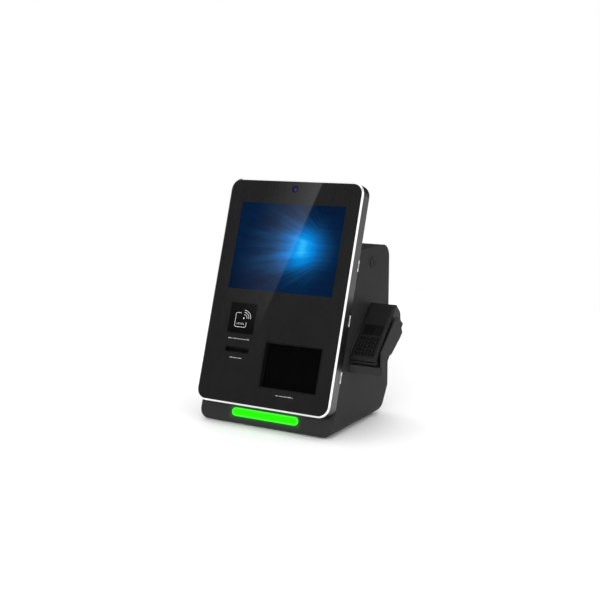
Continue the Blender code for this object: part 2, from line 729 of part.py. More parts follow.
def rotated(point, degrees, centre):
    angle = math.radians(degrees)
    x = point[0] * math.cos(angle) - point[1] * math.sin(angle)
    z = point[0] * math.sin(angle) + point[1] * math.cos(angle)
    return (centre[0] + x, centre[1] + z)


def fan_blade(kiosk, centre, degrees, back):
    """One pitched blade: its front edge is turned from its rear edge about the fan's axis."""
    root, tip, thickness, pitch = 0.0115, 0.0262, 0.0016, 24
    profile = [(root, -thickness), (tip, -thickness), (tip, thickness), (root, thickness)]
    rear = [rotated(point, degrees, centre) for point in profile]
    front = [rotated(point, degrees + pitch, centre) for point in profile]
    return stack("blade", [(front, back - 0.0130), (rear, back - 0.0045)], None, kiosk)


def make_lock(kiosk, barrel_look, cam_look):
    """A cam lock: the flange and barrel stay in the wall, the keyed plug turns the cam behind it."""
    centre = (LOCK_Y, LOCK_Z)
    inner_end = SIDE_X - 0.0200
    rings = [
        (circle(centre, LOCK_BARREL_RADIUS), inner_end),
        (circle(centre, LOCK_BARREL_RADIUS), SIDE_X + GAP),
        (circle(centre, LOCK_FLANGE_RADIUS), SIDE_X + GAP),
        (circle(centre, LOCK_FLANGE_RADIUS), SIDE_X + 0.0012),
        (circle(centre, LOCK_FLANGE_RADIUS - 0.0012), SIDE_X + 0.0020),
    ]
    barrel = stack("lock_barrel", rings, barrel_look, kiosk, "X")
    cut(barrel, prism("plug bore", circle(centre, 0.0063), inner_end - 0.002, SIDE_X + 0.004, None, kiosk))
    plug = prism("lock_cam", circle(centre, 0.0060), inner_end - 0.0035, SIDE_X + 0.0016, cam_look, kiosk)
    arm = stadium_at((LOCK_Y + 0.0090, LOCK_Z), 0.0340, 0.0110, 6)
    join(plug, prism("arm", arm, inner_end - 0.0033, inner_end - 0.0008, None, kiosk))
    key_way = rectangle(centre, 0.0016, 0.0076)
    cut(plug, prism("key way", key_way, SIDE_X - 0.008, SIDE_X + 0.004, None, kiosk))
    move_origin([plug], (SIDE_X, LOCK_Y, LOCK_Z))
    return barrel, plug


def make_latch(panel, bush_look, cam_look):
    """The door's quarter-turn latch, reached from the rear: its shaft turns in a bush on the left wall."""
    centre = (LATCH_DEPTH, LATCH_HEIGHT)
    wall = -SIDE_X + SHEET + GAP
    bush = prism("latch_bush", circle(centre, 0.0080, 16), wall, wall + 0.0110, bush_look, panel)
    cut(bush, prism("bore", circle(centre, 0.0034, 12), wall + 0.0015, wall + 0.020, None, panel))
    cam = prism("latch_cam", circle(centre, 0.0030, 12), wall + 0.0018, -0.1330, cam_look, panel)
    arm = stadium_at((LATCH_DEPTH - 0.0110, LATCH_HEIGHT), 0.0320, 0.0100, 6)
    join(cam, prism("arm", arm, -0.1370, -0.1345, None, panel))
    move_origin([cam], (wall, LATCH_DEPTH, LATCH_HEIGHT))
    return bush, cam


# --- Inside and under the housing ----------------------------------------------------------------


def slant_frame_point(depth, height):
    """The kiosk frame's (y, z) of a depth inside the lower rear slant and a height up it."""
    lean = math.atan2(SLANT_RUN, SLANT_TOP_Z - FOOT_HEIGHT)
    y = slant_y(SLANT_MIDDLE_Z, 0.0) + height * math.sin(lean) - depth * math.cos(lean)
    z = SLANT_MIDDLE_Z + height * math.cos(lean) + depth * math.sin(lean)
    return (y, z)


def slant_box(kiosk, name, half_width, half_height, low_depth, high_depth, look=None, x=0.0, z=0.0):
    """A box set square to the lower rear slant. Its depth counts inwards from the outer surface."""
    low, high = z - half_height, z + half_height
    corners = ((low_depth, low), (high_depth, low), (high_depth, high), (low_depth, high))
    outline = [slant_frame_point(depth, height) for depth, height in corners]
    return prism(name, outline, x - half_width, x + half_width, look, kiosk)


def make_power_inlet(kiosk, inlet_look, rocker_look):
    """A fused inlet with three pins and a rocker switch, in one module on the lower rear slant."""
    half_x, half_z = INLET_SIZE[0] / 2, INLET_SIZE[1] / 2
    inlet = slant_box(kiosk, "power_inlet", half_x, half_z, -0.0008, 0.0300, inlet_look)
    cut(inlet, slant_box(kiosk, "socket", 0.0120, 0.0080, -0.004, 0.0170, None, SOCKET_X))
    for x, z in ((0.0, 0.0040), (-0.0070, -0.0025), (0.0070, -0.0025)):
        join(inlet, slant_box(kiosk, "blade", 0.0010, 0.0022, 0.0020, 0.0180, None, SOCKET_X + x, z))
    cut(inlet, slant_box(kiosk, "rocker well", 0.0092, 0.0108, -0.004, 0.0150, None, ROCKER_X))
    rocker = slant_box(kiosk, "rocker_switch", 0.0085, 0.0094, 0.0005, 0.0070, rocker_look, ROCKER_X)
    join(rocker, slant_box(kiosk, "raised half", 0.0085, 0.0040, -0.0012, 0.0020, None, ROCKER_X, 0.0052))
    y, z = slant_frame_point(0.0060, 0.0)
    move_origin([rocker], (ROCKER_X, y, z))
    return inlet, rocker


def make_computer(kiosk, look):
    """The mini computer, lying on the floor plate, with cooling fins along its lid."""
    floor = FOOT_HEIGHT + SHEET + GAP
    computer = box("computer_box", (-0.134, 0.070, floor), (0.034, 0.190, floor + 0.030), look, kiosk)
    for number in range(12):
        y = 0.0760 + 0.0092 * number
        low, high = (-0.130, y, floor + 0.028), (0.030, y + 0.0030, floor + 0.040)
        join(computer, box("fin", low, high, None, kiosk))
    return computer


def make_power_supply(kiosk, look):
    floor = FOOT_HEIGHT + SHEET + GAP
    supply = box("power_supply", (0.0500, 0.0600, floor), (0.1340, 0.1900, floor + 0.036), look, kiosk)
    for number in range(6):
        y = 0.0760 + 0.0180 * number
        slot = box("vent", (0.0600, y, floor + 0.032), (0.1240, y + 0.0060, floor + 0.040), None, kiosk)
        cut(supply, slot)
    return supply


def make_speaker(kiosk, look):
    centre = (0.170, 0.128)
    wall = -SIDE_X + SHEET + GAP
    rings = [
        (circle(centre, 0.0300), wall),
        (circle(centre, 0.0300), wall + 0.0040),
        (circle(centre, 0.0150), wall + 0.0160),
        (circle(centre, 0.0150), wall + 0.0260),
    ]
    speaker = stack("speaker", rings, look, kiosk, "X")
    cone = [(circle(centre, 0.0260), wall - 0.002), (circle(centre, 0.0080), wall + 0.0130)]
    cut(speaker, stack("cone", cone, None, kiosk, "X"))
    return speaker


def make_feet(kiosk, look):
    feet = []
    for number, (x, y) in enumerate(((-0.120, 0.045), (0.120, 0.045), (-0.120, 0.205), (0.120, 0.205)), 1):
        rings = [
            (circle((x, y), 0.0090, 16), 0.0),
            (circle((x, y), 0.0100, 16), 0.0008),
            (circle((x, y), 0.0100, 16), FOOT_HEIGHT - GAP),
        ]
        feet.append(stack(f"foot_{number}", rings, look, kiosk, "Z"))
    return feet


# --- Payment terminal ----------------------------------------------------------------------------


def cradle_outline():
    """The cradle's side wall, as (y, z), from the lip round its top and back down its underside."""
    return [
        (CRADLE_FRONT_Y, SHELF_Z[0]),
        (CRADLE_FRONT_Y, 0.1675),
        (0.1540, 0.2212),
        (0.1630, 0.2258),
        (0.1715, 0.2262),
        (0.1785, 0.2225),
        (0.1815, 0.2165),
        (0.1890, 0.2118),
        (0.1905, 0.2085),
        (0.1842, 0.2020),
        (0.1892, 0.1915),
        (0.1776, 0.1821),
        (0.1395, 0.1565),
        (0.1265, 0.1540),
        (0.1120, 0.1370),
        (0.1030, SHELF_Z[0]),
    ]


def make_cradle(kiosk, look):
    """Side wall, mounting flange, shelf with its front lip, and the back rest, welded into one."""
    wall = (SIDE_X + CRADLE_WALL[0], SIDE_X + CRADLE_WALL[1])
    flange = (SIDE_X + CRADLE_FLANGE[0], SIDE_X + CRADLE_FLANGE[1])
    cradle = prism("terminal_cradle", cradle_outline(), wall[0], wall[1], look, kiosk)
    foot, top = SHELF_Z
    shelf = [(SHELF_FRONT_Y, foot), (SHELF_FRONT_Y, top), (0.1120, top), (0.1100, 0.1340), (0.1030, foot)]
    join(cradle, prism("shelf", shelf, flange[0], wall[1] - 0.0010, None, kiosk))
    join(cradle, prism("flange", cradle_outline(), flange[0], flange[1], None, kiosk))
    rest = [
        lean_point(TERMINAL_DEPTH + 0.0005, 0.0060),
        lean_point(TERMINAL_DEPTH + 0.0005, 0.0900),
        lean_point(TERMINAL_DEPTH + 0.0030, 0.0900),
        lean_point(TERMINAL_DEPTH + 0.0030, 0.0060),
    ]
    join(cradle, prism("back rest", rest, flange[0] + 0.0005, wall[1] - 0.0010, None, kiosk))
    return cradle


def shoulder_block(terminal, name, half_width, length):
    """The terminal's cross-section, with its face flat between two sloping shoulders."""
    outline = [
        (-half_width, TERMINAL_DEPTH + 0.010),
        (-half_width, 0.0036),
        (-half_width + 0.0016, 0.0022),
        (-FACE_HALF_WIDTH, 0.0),
        (FACE_HALF_WIDTH, 0.0),
        (half_width - 0.0016, 0.0022),
        (half_width, 0.0036),
        (half_width, TERMINAL_DEPTH + 0.010),
    ]
    return prism(name, outline, -0.030, length, None, terminal, "Z")


def from_lean(y, z):
    """The depth behind the terminal's face and the height up it of a point of the kiosk's frame."""
    along, up = y - TERMINAL_FOOT_Y, z - TERMINAL_FOOT_Z
    return (along * math.cos(LEAN) - up * math.sin(LEAN), along * math.sin(LEAN) + up * math.cos(LEAN))


def make_terminal_case(terminal, look):
    """The rear shell: its foot, set back under the chin, stands on the shelf, and its head is thicker."""
    half = (TERMINAL_X[1] - TERMINAL_X[0]) / 2
    depth, length, parting = TERMINAL_DEPTH, TERMINAL_LENGTH, TERMINAL_PARTING
    outline = [
        (parting, -parting / math.tan(LEAN)),
        (parting, length),
        (0.0270, length),
        (0.0325, length - 0.0022),
        (0.0375, length - 0.0060),
        (0.0410, length - 0.0120),
        (0.0410, length - 0.0260),
        (depth, length - 0.0340),
        (depth, 0.0300),
        from_lean(TERMINAL_BASE_Y[1], TERMINAL_BASE_Z),
        from_lean(TERMINAL_BASE_Y[0], TERMINAL_BASE_Z),
        from_lean(TERMINAL_BASE_Y[0] - 0.0020, TERMINAL_CHIN_Z - 0.0004),
        from_lean(TERMINAL_FOOT_Y, TERMINAL_CHIN_Z),
    ]
    case = prism("terminal_case", outline, -half, half, look, terminal)

    def on_side_edge(first, second):
        on_one_side = abs(abs(first.x) - half) < 1e-6 and abs(first.x - second.x) < 1e-6
        return on_one_side and max(first.y, second.y) > parting + 0.001

    round_edges(case, 0.0024, 3, on_side_edge)
    opening = parting - 0.002
    cavity = [(opening, 0.0), (opening, 0.1270), (0.0260, 0.1270), (0.0310, 0.1230), (0.0310, 0.0300)]
    cavity.append((0.0220, 0.0080))
    cut(case, prism("cavity", cavity, -half + 0.0030, half - 0.0030, None, terminal))
    low, high = CARD_SLOT_Z
    near, far = TERMINAL_FOOT_Y - 0.0040, TERMINAL_FOOT_Y + 0.0180
    slot = [from_lean(near, high), from_lean(near, low), from_lean(far, low), from_lean(far, high)]
    cut(case, prism("chip card slot", slot, -0.0270, 0.0270, None, terminal))
    return case


def make_terminal_cover(terminal, look):
    """The front shell: sloping shoulders, the screen's window, a hole for each key, and a well below."""
    half = (TERMINAL_X[1] - TERMINAL_X[0]) / 2
    edge = TERMINAL_PARTING - GAP
    outline = [(0.0, 0.0), (0.0, LID_FOOT - GAP), (edge, LID_FOOT - GAP), (edge, -edge / math.tan(LEAN))]
    cover = prism("terminal_cover", outline, -half, half, look, terminal)
    meet(cover, shoulder_block(terminal, "shoulders", half, 0.200))
    well = box("well", (-0.0224, 0.0030, -0.0010), (0.0224, 0.0100, 0.0785), None, terminal)
    cut(cover, well)
    middle = (0.0, (SCREEN_SPAN[0] + SCREEN_SPAN[1]) / 2)
    window = rectangle(middle, SCREEN_WIDTH, SCREEN_SPAN[1] - SCREEN_SPAN[0])
    cut(cover, prism("window", window, -0.002, 0.008, None, terminal, "Y"))
    for row in range(len(KEY_ROWS)):
        for column in range(3):
            hole = rectangle(key_centre(row, column), KEY_SIZE[0] + 0.0006, KEY_SIZE[1] + 0.0006)
            cut(cover, prism("key hole", hole, -0.002, 0.008, None, terminal, "Y"))
    return cover


def key_centre(row, column):
    return ((column - 1) * KEY_PITCH[0], KEY_FIRST_ROW + row * KEY_PITCH[1])


def make_keys(terminal, look):
    """Each key stands proud of the cover and is held by a flange in the well behind it."""
    keys = []
    for row, names in enumerate(KEY_ROWS):
        for column, name in enumerate(names):
            centre = key_centre(row, column)
            width, height = KEY_SIZE
            rings = [
                (rectangle(centre, width - 0.0014, height - 0.0014), -KEY_PROUD),
                (rectangle(centre, width, height), -KEY_PROUD + 0.0007),
                (rectangle(centre, width, height), 0.0033),
                (rectangle(centre, width + 0.0012, height + 0.0012), 0.0033),
                (rectangle(centre, width + 0.0012, height + 0.0012), 0.0042),
            ]
            key = stack(f"key_{name}", rings, look, terminal)
            move_origin([key], (centre[0], 0.0, centre[1]))
            keys.append(key)
    return keys


def make_terminal_window(terminal, look):
    centre = (0.0, (SCREEN_SPAN[0] + SCREEN_SPAN[1]) / 2)
    outline = rectangle(centre, SCREEN_WIDTH - 2 * GAP, SCREEN_SPAN[1] - SCREEN_SPAN[0] - 2 * GAP)
    return prism("terminal_window", outline, 0.0002, 0.0028, look, terminal, "Y")


def make_printer_lid(terminal, look):
    """The paper lid: it forms the terminal's top end and turns up about its rear edge."""
    half = (TERMINAL_X[1] - TERMINAL_X[0]) / 2
    edge = TERMINAL_PARTING - GAP
    outline = [
        (0.0, LID_FOOT),
        (0.0, FACE_LENGTH),
        (0.0007, FACE_LENGTH + 0.0026),
        (0.0024, FACE_LENGTH + 0.0056),
        (edge, TERMINAL_LENGTH),
        (edge, LID_FOOT),
    ]
    lid = prism("printer_lid", outline, -half, half, look, terminal)
    meet(lid, shoulder_block(terminal, "shoulders", half, 0.200))
    well = box("well", (-0.0200, 0.0030, LID_FOOT + 0.0025), (0.0200, 0.0100, 0.1220), None, terminal)
    cut(lid, well)
    move_origin([lid], (0.0, TERMINAL_PARTING, TERMINAL_LENGTH))
    return lid


def make_paper_roll(terminal, look):
    centre = (0.0185, 0.1080)
    roll = prism("paper_roll", circle(centre, 0.0115), -0.0230, 0.0230, look, terminal)
    cut(roll, prism("core", circle(centre, 0.0045, 12), -0.0250, 0.0250, None, terminal))
    return roll


# --- Assembly ------------------------------------------------------------------------------------


def build():
    clear_scene()
    look = looks()
    kiosk = frame("kiosk_frame", None, (-MIDDLE_X, -MIDDLE_Y, 0.0))
    panel = frame("panel_frame", kiosk, (0.0, 0.0, GLASS_FOOT_Z), TILT)
    terminal_x = SIDE_X + (TERMINAL_X[0] + TERMINAL_X[1]) / 2
    terminal = frame("terminal_frame", kiosk, (terminal_x, TERMINAL_FOOT_Y, TERMINAL_FOOT_Z), LEAN)

    make_body_shell(kiosk, panel, look["black_steel"])
    for number, height in enumerate(HINGE_HEIGHTS, 1):
        make_body_leaf(panel, number, height, look["steel"])
    make_light_bar(panel, look["green_light"], look["circuit_board"])
    make_rear_hinge_rod(kiosk, look["steel"])
    make_lock(kiosk, look["black_plastic"], look["steel"])
    make_latch(panel, look["steel"], look["steel"])
    make_power_inlet(kiosk, look["black_plastic"], look["black_plastic"])
    make_computer(kiosk, look["aluminium"])
    make_power_supply(kiosk, look["steel"])
    make_speaker(kiosk, look["black_plastic"])
    make_feet(kiosk, look["rubber"])
    make_cradle(kiosk, look["black_steel"])

    door = [
        make_bezel_frame(panel, look["bright_frame"]),
        make_front_glass(panel, look["black_glass"]),
        make_display_panel(panel, look["black_plastic"]),
        make_nfc_board(panel, look["circuit_board"]),
        make_door_back_pan(panel, look["black_steel"]),
        make_door_keeper(panel, look["steel"]),
    ]
    door += make_camera(panel, look["dark_glass"], look["circuit_board"])
    door += make_card_reader(panel, look["black_plastic"], look["black_plastic"])
    door += make_scan_bay(panel, look["black_plastic"], look["dark_glass"], look["circuit_board"])
    for number, height in enumerate(HINGE_HEIGHTS, 1):
        door.append(make_door_leaf(panel, number, height, look["steel"]))
    move_origin(door, (HINGE_X, HINGE_DEPTH, 0.0))

    cover = make_rear_cover(kiosk, panel, look["black_steel"])
    fan_case, _ = make_fan(kiosk, look["black_plastic"], look["black_plastic"])
    move_origin([cover, fan_case], (0.0, REAR_HINGE_Y, REAR_HINGE_Z))

    make_terminal_case(terminal, look["terminal_plastic"])
    make_terminal_cover(terminal, look["terminal_plastic"])
    make_terminal_window(terminal, look["dark_glass"])
    make_printer_lid(terminal, look["terminal_plastic"])
    make_paper_roll(terminal, look["paper"])
    make_keys(terminal, look["key_plastic"])


build()
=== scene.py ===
"""Looks of the countertop self-checkout kiosk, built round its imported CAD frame.

Panel pieces are made in the panel's own frame: X to the right, Y into the glass, Z up the slope.
Terminal pieces are made in the same way in the frame of the terminal's face.
"""

import json
import math
import random

import bmesh
import bpy
from mathutils import Matrix, Vector


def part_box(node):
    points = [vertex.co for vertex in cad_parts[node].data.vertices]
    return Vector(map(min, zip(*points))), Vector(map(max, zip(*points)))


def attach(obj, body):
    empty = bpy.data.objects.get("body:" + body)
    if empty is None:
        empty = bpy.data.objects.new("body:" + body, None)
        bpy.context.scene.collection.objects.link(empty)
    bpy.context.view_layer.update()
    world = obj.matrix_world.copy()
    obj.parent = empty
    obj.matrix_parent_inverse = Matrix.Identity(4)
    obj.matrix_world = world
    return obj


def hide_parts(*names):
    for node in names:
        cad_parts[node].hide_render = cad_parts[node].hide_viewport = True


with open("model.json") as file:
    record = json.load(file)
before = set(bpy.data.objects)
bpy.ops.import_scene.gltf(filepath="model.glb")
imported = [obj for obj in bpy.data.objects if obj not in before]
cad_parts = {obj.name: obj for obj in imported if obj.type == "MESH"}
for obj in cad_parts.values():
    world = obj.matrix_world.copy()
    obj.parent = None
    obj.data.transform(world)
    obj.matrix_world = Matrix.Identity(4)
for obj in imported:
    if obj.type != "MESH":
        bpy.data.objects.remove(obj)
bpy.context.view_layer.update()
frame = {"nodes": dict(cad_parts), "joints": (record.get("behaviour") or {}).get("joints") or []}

# The camera stands to the right of the kiosk and a little above it.
CAMERA_POSITION = Vector((1.0785, -1.87384, 0.6318))
CAMERA_YAW = math.radians(30.297)
CAMERA_PITCH = math.radians(-10.01)
CAMERA_LENS = 63.8

# The panel's printed and lit features, in the panel frame: places are (x, height up the slope).
GLASS_THICKNESS = 0.0032
GLASS_GAP = 0.0003  # the panel frame starts this far below the glass
PRINT_THICKNESS = 0.00004
PICTURE_CENTRE = (0.0014, 0.3264)
PICTURE_SIZE = (0.2462, 0.1838)
PICTURE_CORNER = 0.0008
READER_CENTRE = (-0.0749, 0.1736)
READER_SIZE = 0.0632
READER_CORNER = 0.0015
CAMERA_CENTRE = (0.0, 0.4500)
CHAMFER_DEPTH = 0.0033

# The sign on the contactless reader: a card with an open corner, from which radio waves spread.
ICON_LEFT, ICON_RIGHT = -0.0910, -0.0637
ICON_LOW, ICON_HIGH = 0.1552, 0.1845
ICON_CORNER = 0.0030
ICON_LINE = 0.0008
ICON_TOP_END = -0.0780
ICON_RIGHT_END = 0.1660
ICON_BARS = 5
ICON_BAR_START, ICON_BAR_PITCH = 0.0055, 0.0040
ICON_BAR_LOW = 0.0050
ICON_BAR_TOPS = (0.0080, 0.0095)
WAVE_SOURCE = (-0.0712, 0.1740)
WAVE_DOT = 0.0016
WAVE_RADII = (0.0075, 0.0120, 0.0165)

# The camera's ring, with its stepped barrel, as (radius, depth), and its domed front element.
CAMERA_PROFILE = (
    (0.0, 0.0108), (0.0040, 0.0108), (0.0040, 0.0034), (0.0064, 0.0030), (0.0064, 0.0004),
    (0.0062, 0.0001), (0.0058, 0.0000), (0.0055, 0.0003), (0.0052, 0.0010), (0.0049, 0.0010),
    (0.0047, 0.0018), (0.0044, 0.0018), (0.0042, 0.0023), (0.0, 0.0023),
)
DOME_RADIUS = 0.0045
DOME_RISE = 0.0014
DOME_BACK, DOME_RIM = 0.0021, 0.0019
DOME_STEPS = 8

# The status light in the base: its height, its size, and the paler line inside its edge.
LIGHT_HEIGHT = -0.0172
LIGHT_SIZE = (0.158, 0.0172)
LIGHT_LINE_INSET = 0.0019
LIGHT_LINE_FADE = 0.0011
LIGHT_GLOW_ENERGY = 0.060
LIGHT_GLOW_STRETCH = (1.03, 1.3)
LIGHT_GLOW_DEPTH, LIGHT_GLOW_AIM = 0.0235, 0.0300

# The paper lid's hinge in the frame of the terminal's face, and the printing on its keys.
TERMINAL_HINGE = (0.0, 0.0060, 0.1308)
LEGEND_SIZE = 0.0046
LEGEND_RELIEF = 0.00004
LEGEND_DEPTH = -0.00106

# The display's tones, from the dark field to the brightest light: (level, colour).
PICTURE_TONES = (
    (0.0, (0.0003, 0.0068, 0.029)),
    (0.12, (0.0010, 0.0176, 0.063)),
    (0.28, (0.0028, 0.0500, 0.150)),
    (0.48, (0.0025, 0.120, 0.400)),
    (0.70, (0.0015, 0.240, 0.710)),
    (0.88, (0.0060, 0.340, 0.850)),
    (1.0, (0.0370, 0.520, 1.0)),
)

# Captions: name, first and last x, and height. Their letters are plain blocks.
CAPTIONS = (
    ("caption_reader", (-0.1010, -0.0500), 0.1304),
    ("caption_slot", (-0.0900, -0.0595), 0.0910),
    ("caption_window", (0.0330, 0.0750), 0.0270),
)
WORD_LENGTHS = (3, 4, 5)
LETTER_WIDTHS = (0.0011, 0.0019)
LETTER_HEIGHTS = (0.0016, 0.0016, 0.0023)
LETTER_DROP = 0.0008
LETTER_GAP = 0.0005
WORD_GAP = 0.0015
LAST_WORD_ROOM = 0.0010

KEY_LEGENDS = {
    "cancel": "X", "clear": "<", "enter": "O", "star": "*", "0": "0", "hash": "#",
    "7": "7", "8": "8", "9": "9", "4": "4", "5": "5", "6": "6", "1": "1", "2": "2", "3": "3",
}
KEY_MARKS = {"cancel": "mark_red", "clear": "mark_yellow", "enter": "mark_green"}

# Suns: name, energy, angle, elevation and azimuth, counted from the back towards the right.
SUNS = (
    ("overhead", 0.9, 60, 68, -50),
    ("dome", 1.1, 170, 88, 0),
    ("front", 3.0, 50, 12, 172),
)

# The room's light: everywhere, lost at the back, added from the right and above, and from below.
ROOM_LIGHT = 0.34
BACK_LOSS = 0.30
SIDE_LIGHT = 0.85
FLOOR_LIGHT = 0.42
MIRROR_LOSS = 0.92

# The floor is white up to FLOOR_INNER and has faded out at FLOOR_OUTER.
FLOOR_INNER, FLOOR_OUTER = 1.1, 1.7
FLOOR_STEPS = 64

# The softbox card, by the places where the camera sees it mirrored in the glass.
CARD_DISTANCE = 0.9
CARD_WIDTH = 0.130
CARD_TOP, CARD_BOTTOM = (0.0660, 0.480), (-0.0340, 0.150)
CARD_STRENGTH = 1.25


# --- Frames --------------------------------------------------------------------------------------


def joint(name):
    return next(entry for entry in frame["joints"] if entry["name"] == name)


def slope_frame(origin, up):
    """A frame at origin whose Z runs along up, a direction square to X, and whose Y runs inwards."""
    right = Vector((1.0, 0.0, 0.0))
    inwards = up.cross(right)
    turn = Matrix((right, inwards, up)).transposed().to_4x4()
    return Matrix.Translation(origin) @ turn


def panel_frame():
    up = Vector(joint("front_door_hinge")["axis"]).normalized()
    low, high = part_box("front_glass")
    edge = Vector(((low.x + high.x) / 2, low.y, low.z + GLASS_THICKNESS * up.y))
    return slope_frame(edge - GLASS_GAP * up, up)


def terminal_frame():
    """The terminal's face, from the paper lid's hinge, which is this far up it and behind it."""
    up = Vector(joint("terminal_lift")["axis"]).normalized()
    hinge = Vector(joint("paper_lid_hinge")["pos_m"])
    rotation = slope_frame(Vector(), up)
    return slope_frame(hinge - rotation @ Vector(TERMINAL_HINGE), up)


PANEL = panel_frame()
TERMINAL = terminal_frame()


# --- Material nodes ------------------------------------------------------------------------------


def node(tree, kind, links=(), **settings):
    """A new node. links pairs input names or numbers with sockets or values."""
    made = tree.nodes.new(kind)
    for name, setting in settings.items():
        setattr(made, name, setting)
    for name, source in dict(links).items():
        if isinstance(source, bpy.types.NodeSocket):
            tree.links.new(source, made.inputs[name])
        else:
            made.inputs[name].default_value = source
    return made


def maths(tree, operation, *values, clamp=False):
    links = dict(enumerate(values))
    return node(tree, "ShaderNodeMath", links, operation=operation, use_clamp=clamp).outputs[0]


def remap(tree, value, low, high, to_low=0.0, to_high=1.0, smooth=False):
    kind = "SMOOTHSTEP" if smooth else "LINEAR"
    links = {"Value": value, "From Min": low, "From Max": high, "To Min": to_low, "To Max": to_high}
    return node(tree, "ShaderNodeMapRange", links, interpolation_type=kind).outputs[0]


def product(tree, first, *others):
    for other in others:
        first = maths(tree, "MULTIPLY", first, other)
    return first


def fade(tree, value, start, full):
    """Rises smoothly from 0 at start to 1 at full."""
    return remap(tree, value, start, full, 0.0, 1.0, True)


def mix_colour(tree, factor, first, second):
    made = node(tree, "ShaderNodeMix", data_type="RGBA")
    for index, source in ((0, factor), (6, first), (7, second)):
        if isinstance(source, bpy.types.NodeSocket):
            tree.links.new(source, made.inputs[index])
        else:
            made.inputs[index].default_value = source
    return made.outputs[2]


def shade(colour, factor=1.0):
    return (colour[0] * factor, colour[1] * factor, colour[2] * factor, 1.0)


def place(tree, matrix=None, stretch=(1.0, 1.0, 1.0)):
    """Object coordinates, in the frame of matrix where one is given, with each axis stretched."""
    coordinates = node(tree, "ShaderNodeTexCoord").outputs["Object"]
    if matrix is not None:
        location, rotation, _ = matrix.decompose()
        links = {"Vector": coordinates, "Location": location, "Rotation": rotation.to_euler()}
        coordinates = node(tree, "ShaderNodeMapping", links, vector_type="TEXTURE").outputs[0]
    if stretch != (1.0, 1.0, 1.0):
        links = {"Vector": coordinates, "Scale": stretch}
        coordinates = node(tree, "ShaderNodeMapping", links, vector_type="POINT").outputs[0]
    return coordinates


def noise(tree, coordinates, scale, detail=2.0, roughness=0.5, distortion=0.0):
    links = {
        "Vector": coordinates, "Scale": scale, "Detail": detail, "Roughness": roughness,
        "Distortion": distortion,
    }
    return node(tree, "ShaderNodeTexNoise", links).outputs["Fac"]


def bump(tree, height, distance, strength):
    links = {"Height": height, "Distance": distance, "Strength": strength}
    return node(tree, "ShaderNodeBump", links).outputs[0]


def new_material(name, metallic=0.0, ior=1.5, specular=0.5):
    made = bpy.data.materials.new(name)
    made.use_nodes = True
    tree = made.node_tree
    shader = tree.nodes["Principled BSDF"]
    shader.inputs["Metallic"].default_value = metallic
    shader.inputs["IOR"].default_value = ior
    shader.inputs["Specular IOR Level"].default_value = specular
    return made, tree, shader


def feed(tree, shader, **sources):
    """Links sources to the shader's inputs, whose names are given with underscores."""
    for name, source in sources.items():
        tree.links.new(source, shader.inputs[name.replace("_", " ")])


# --- Materials -----------------------------------------------------------------------------------


def powder_coat(name, colour):
    """Fine-textured powder coat: shallow orange peel, sparse bright flecks and faint clouding."""
    made, tree, shader = new_material(name, specular=0.08)
    at = place(tree)
    peel = noise(tree, at, 900.0, 2.0)
    grain = noise(tree, at, 3600.0, 2.0)
    cloud = noise(tree, at, 14.0, 3.0)
    fleck = remap(tree, noise(tree, at, 2600.0, 1.0), 0.70, 0.78)
    base = mix_colour(tree, remap(tree, cloud, 0.3, 0.7), shade(colour, 0.92), shade(colour, 1.08))
    base = mix_colour(tree, remap(tree, peel, 0.35, 0.65), base, shade(colour, 1.05))
    base = mix_colour(tree, maths(tree, "MULTIPLY", fleck, 0.35), base, shade(colour, 3.0))
    height = maths(tree, "ADD", peel, maths(tree, "MULTIPLY", grain, 0.5))
    feed(
        tree, shader, Base_Color=base, Roughness=remap(tree, grain, 0.3, 0.7, 0.44, 0.58),
        Normal=bump(tree, height, 0.00010, 0.55),
    )
    return made


def bright_frame():
    """Machined frame: a polished chamfer in front, a brushed grey side behind it."""
    made, tree, shader = new_material("bright_frame", metallic=1.0)
    at = place(tree, PANEL)
    depth = node(tree, "ShaderNodeSeparateXYZ", {0: at}).outputs["Y"]
    side = remap(tree, depth, CHAMFER_DEPTH, CHAMFER_DEPTH + 0.0002)
    brushed = noise(tree, place(tree, PANEL, (3.0, 1.0, 0.02)), 2800.0, 3.0)
    cloud = noise(tree, at, 30.0, 2.0)
    grey = mix_colour(tree, brushed, (0.095, 0.095, 0.095, 1.0), (0.145, 0.145, 0.145, 1.0))
    polished = mix_colour(tree, cloud, (0.92, 0.92, 0.92, 1.0), (0.97, 0.97, 0.97, 1.0))
    side_roughness = remap(tree, brushed, 0.3, 0.7, 0.20, 0.28)
    roughness = maths(tree, "ADD", maths(tree, "MULTIPLY", side, side_roughness), 0.10)
    feed(
        tree, shader, Base_Color=mix_colour(tree, side, polished, grey), Roughness=roughness,
        Normal=bump(tree, maths(tree, "MULTIPLY", brushed, side), 0.00003, 0.5),
    )
    return made


def brushed_metal(name, colour, stretch=(0.05, 1.0, 1.0), roughness=0.30, scale=2400.0):
    made, tree, shader = new_material(name, metallic=1.0)
    at = place(tree, stretch=stretch)
    lines = noise(tree, at, scale, 3.0)
    stains = noise(tree, place(tree), 45.0, 4.0)
    base = mix_colour(tree, remap(tree, lines, 0.3, 0.7), shade(colour, 0.85), shade(colour, 1.1))
    base = mix_colour(tree, remap(tree, stains, 0.55, 0.75, 0.0, 0.35), base, shade(colour, 0.7))
    feed(
        tree, shader, Base_Color=base, Normal=bump(tree, lines, 0.00003, 0.5),
        Roughness=remap(tree, lines, 0.3, 0.7, roughness - 0.07, roughness + 0.10),
    )
    return made


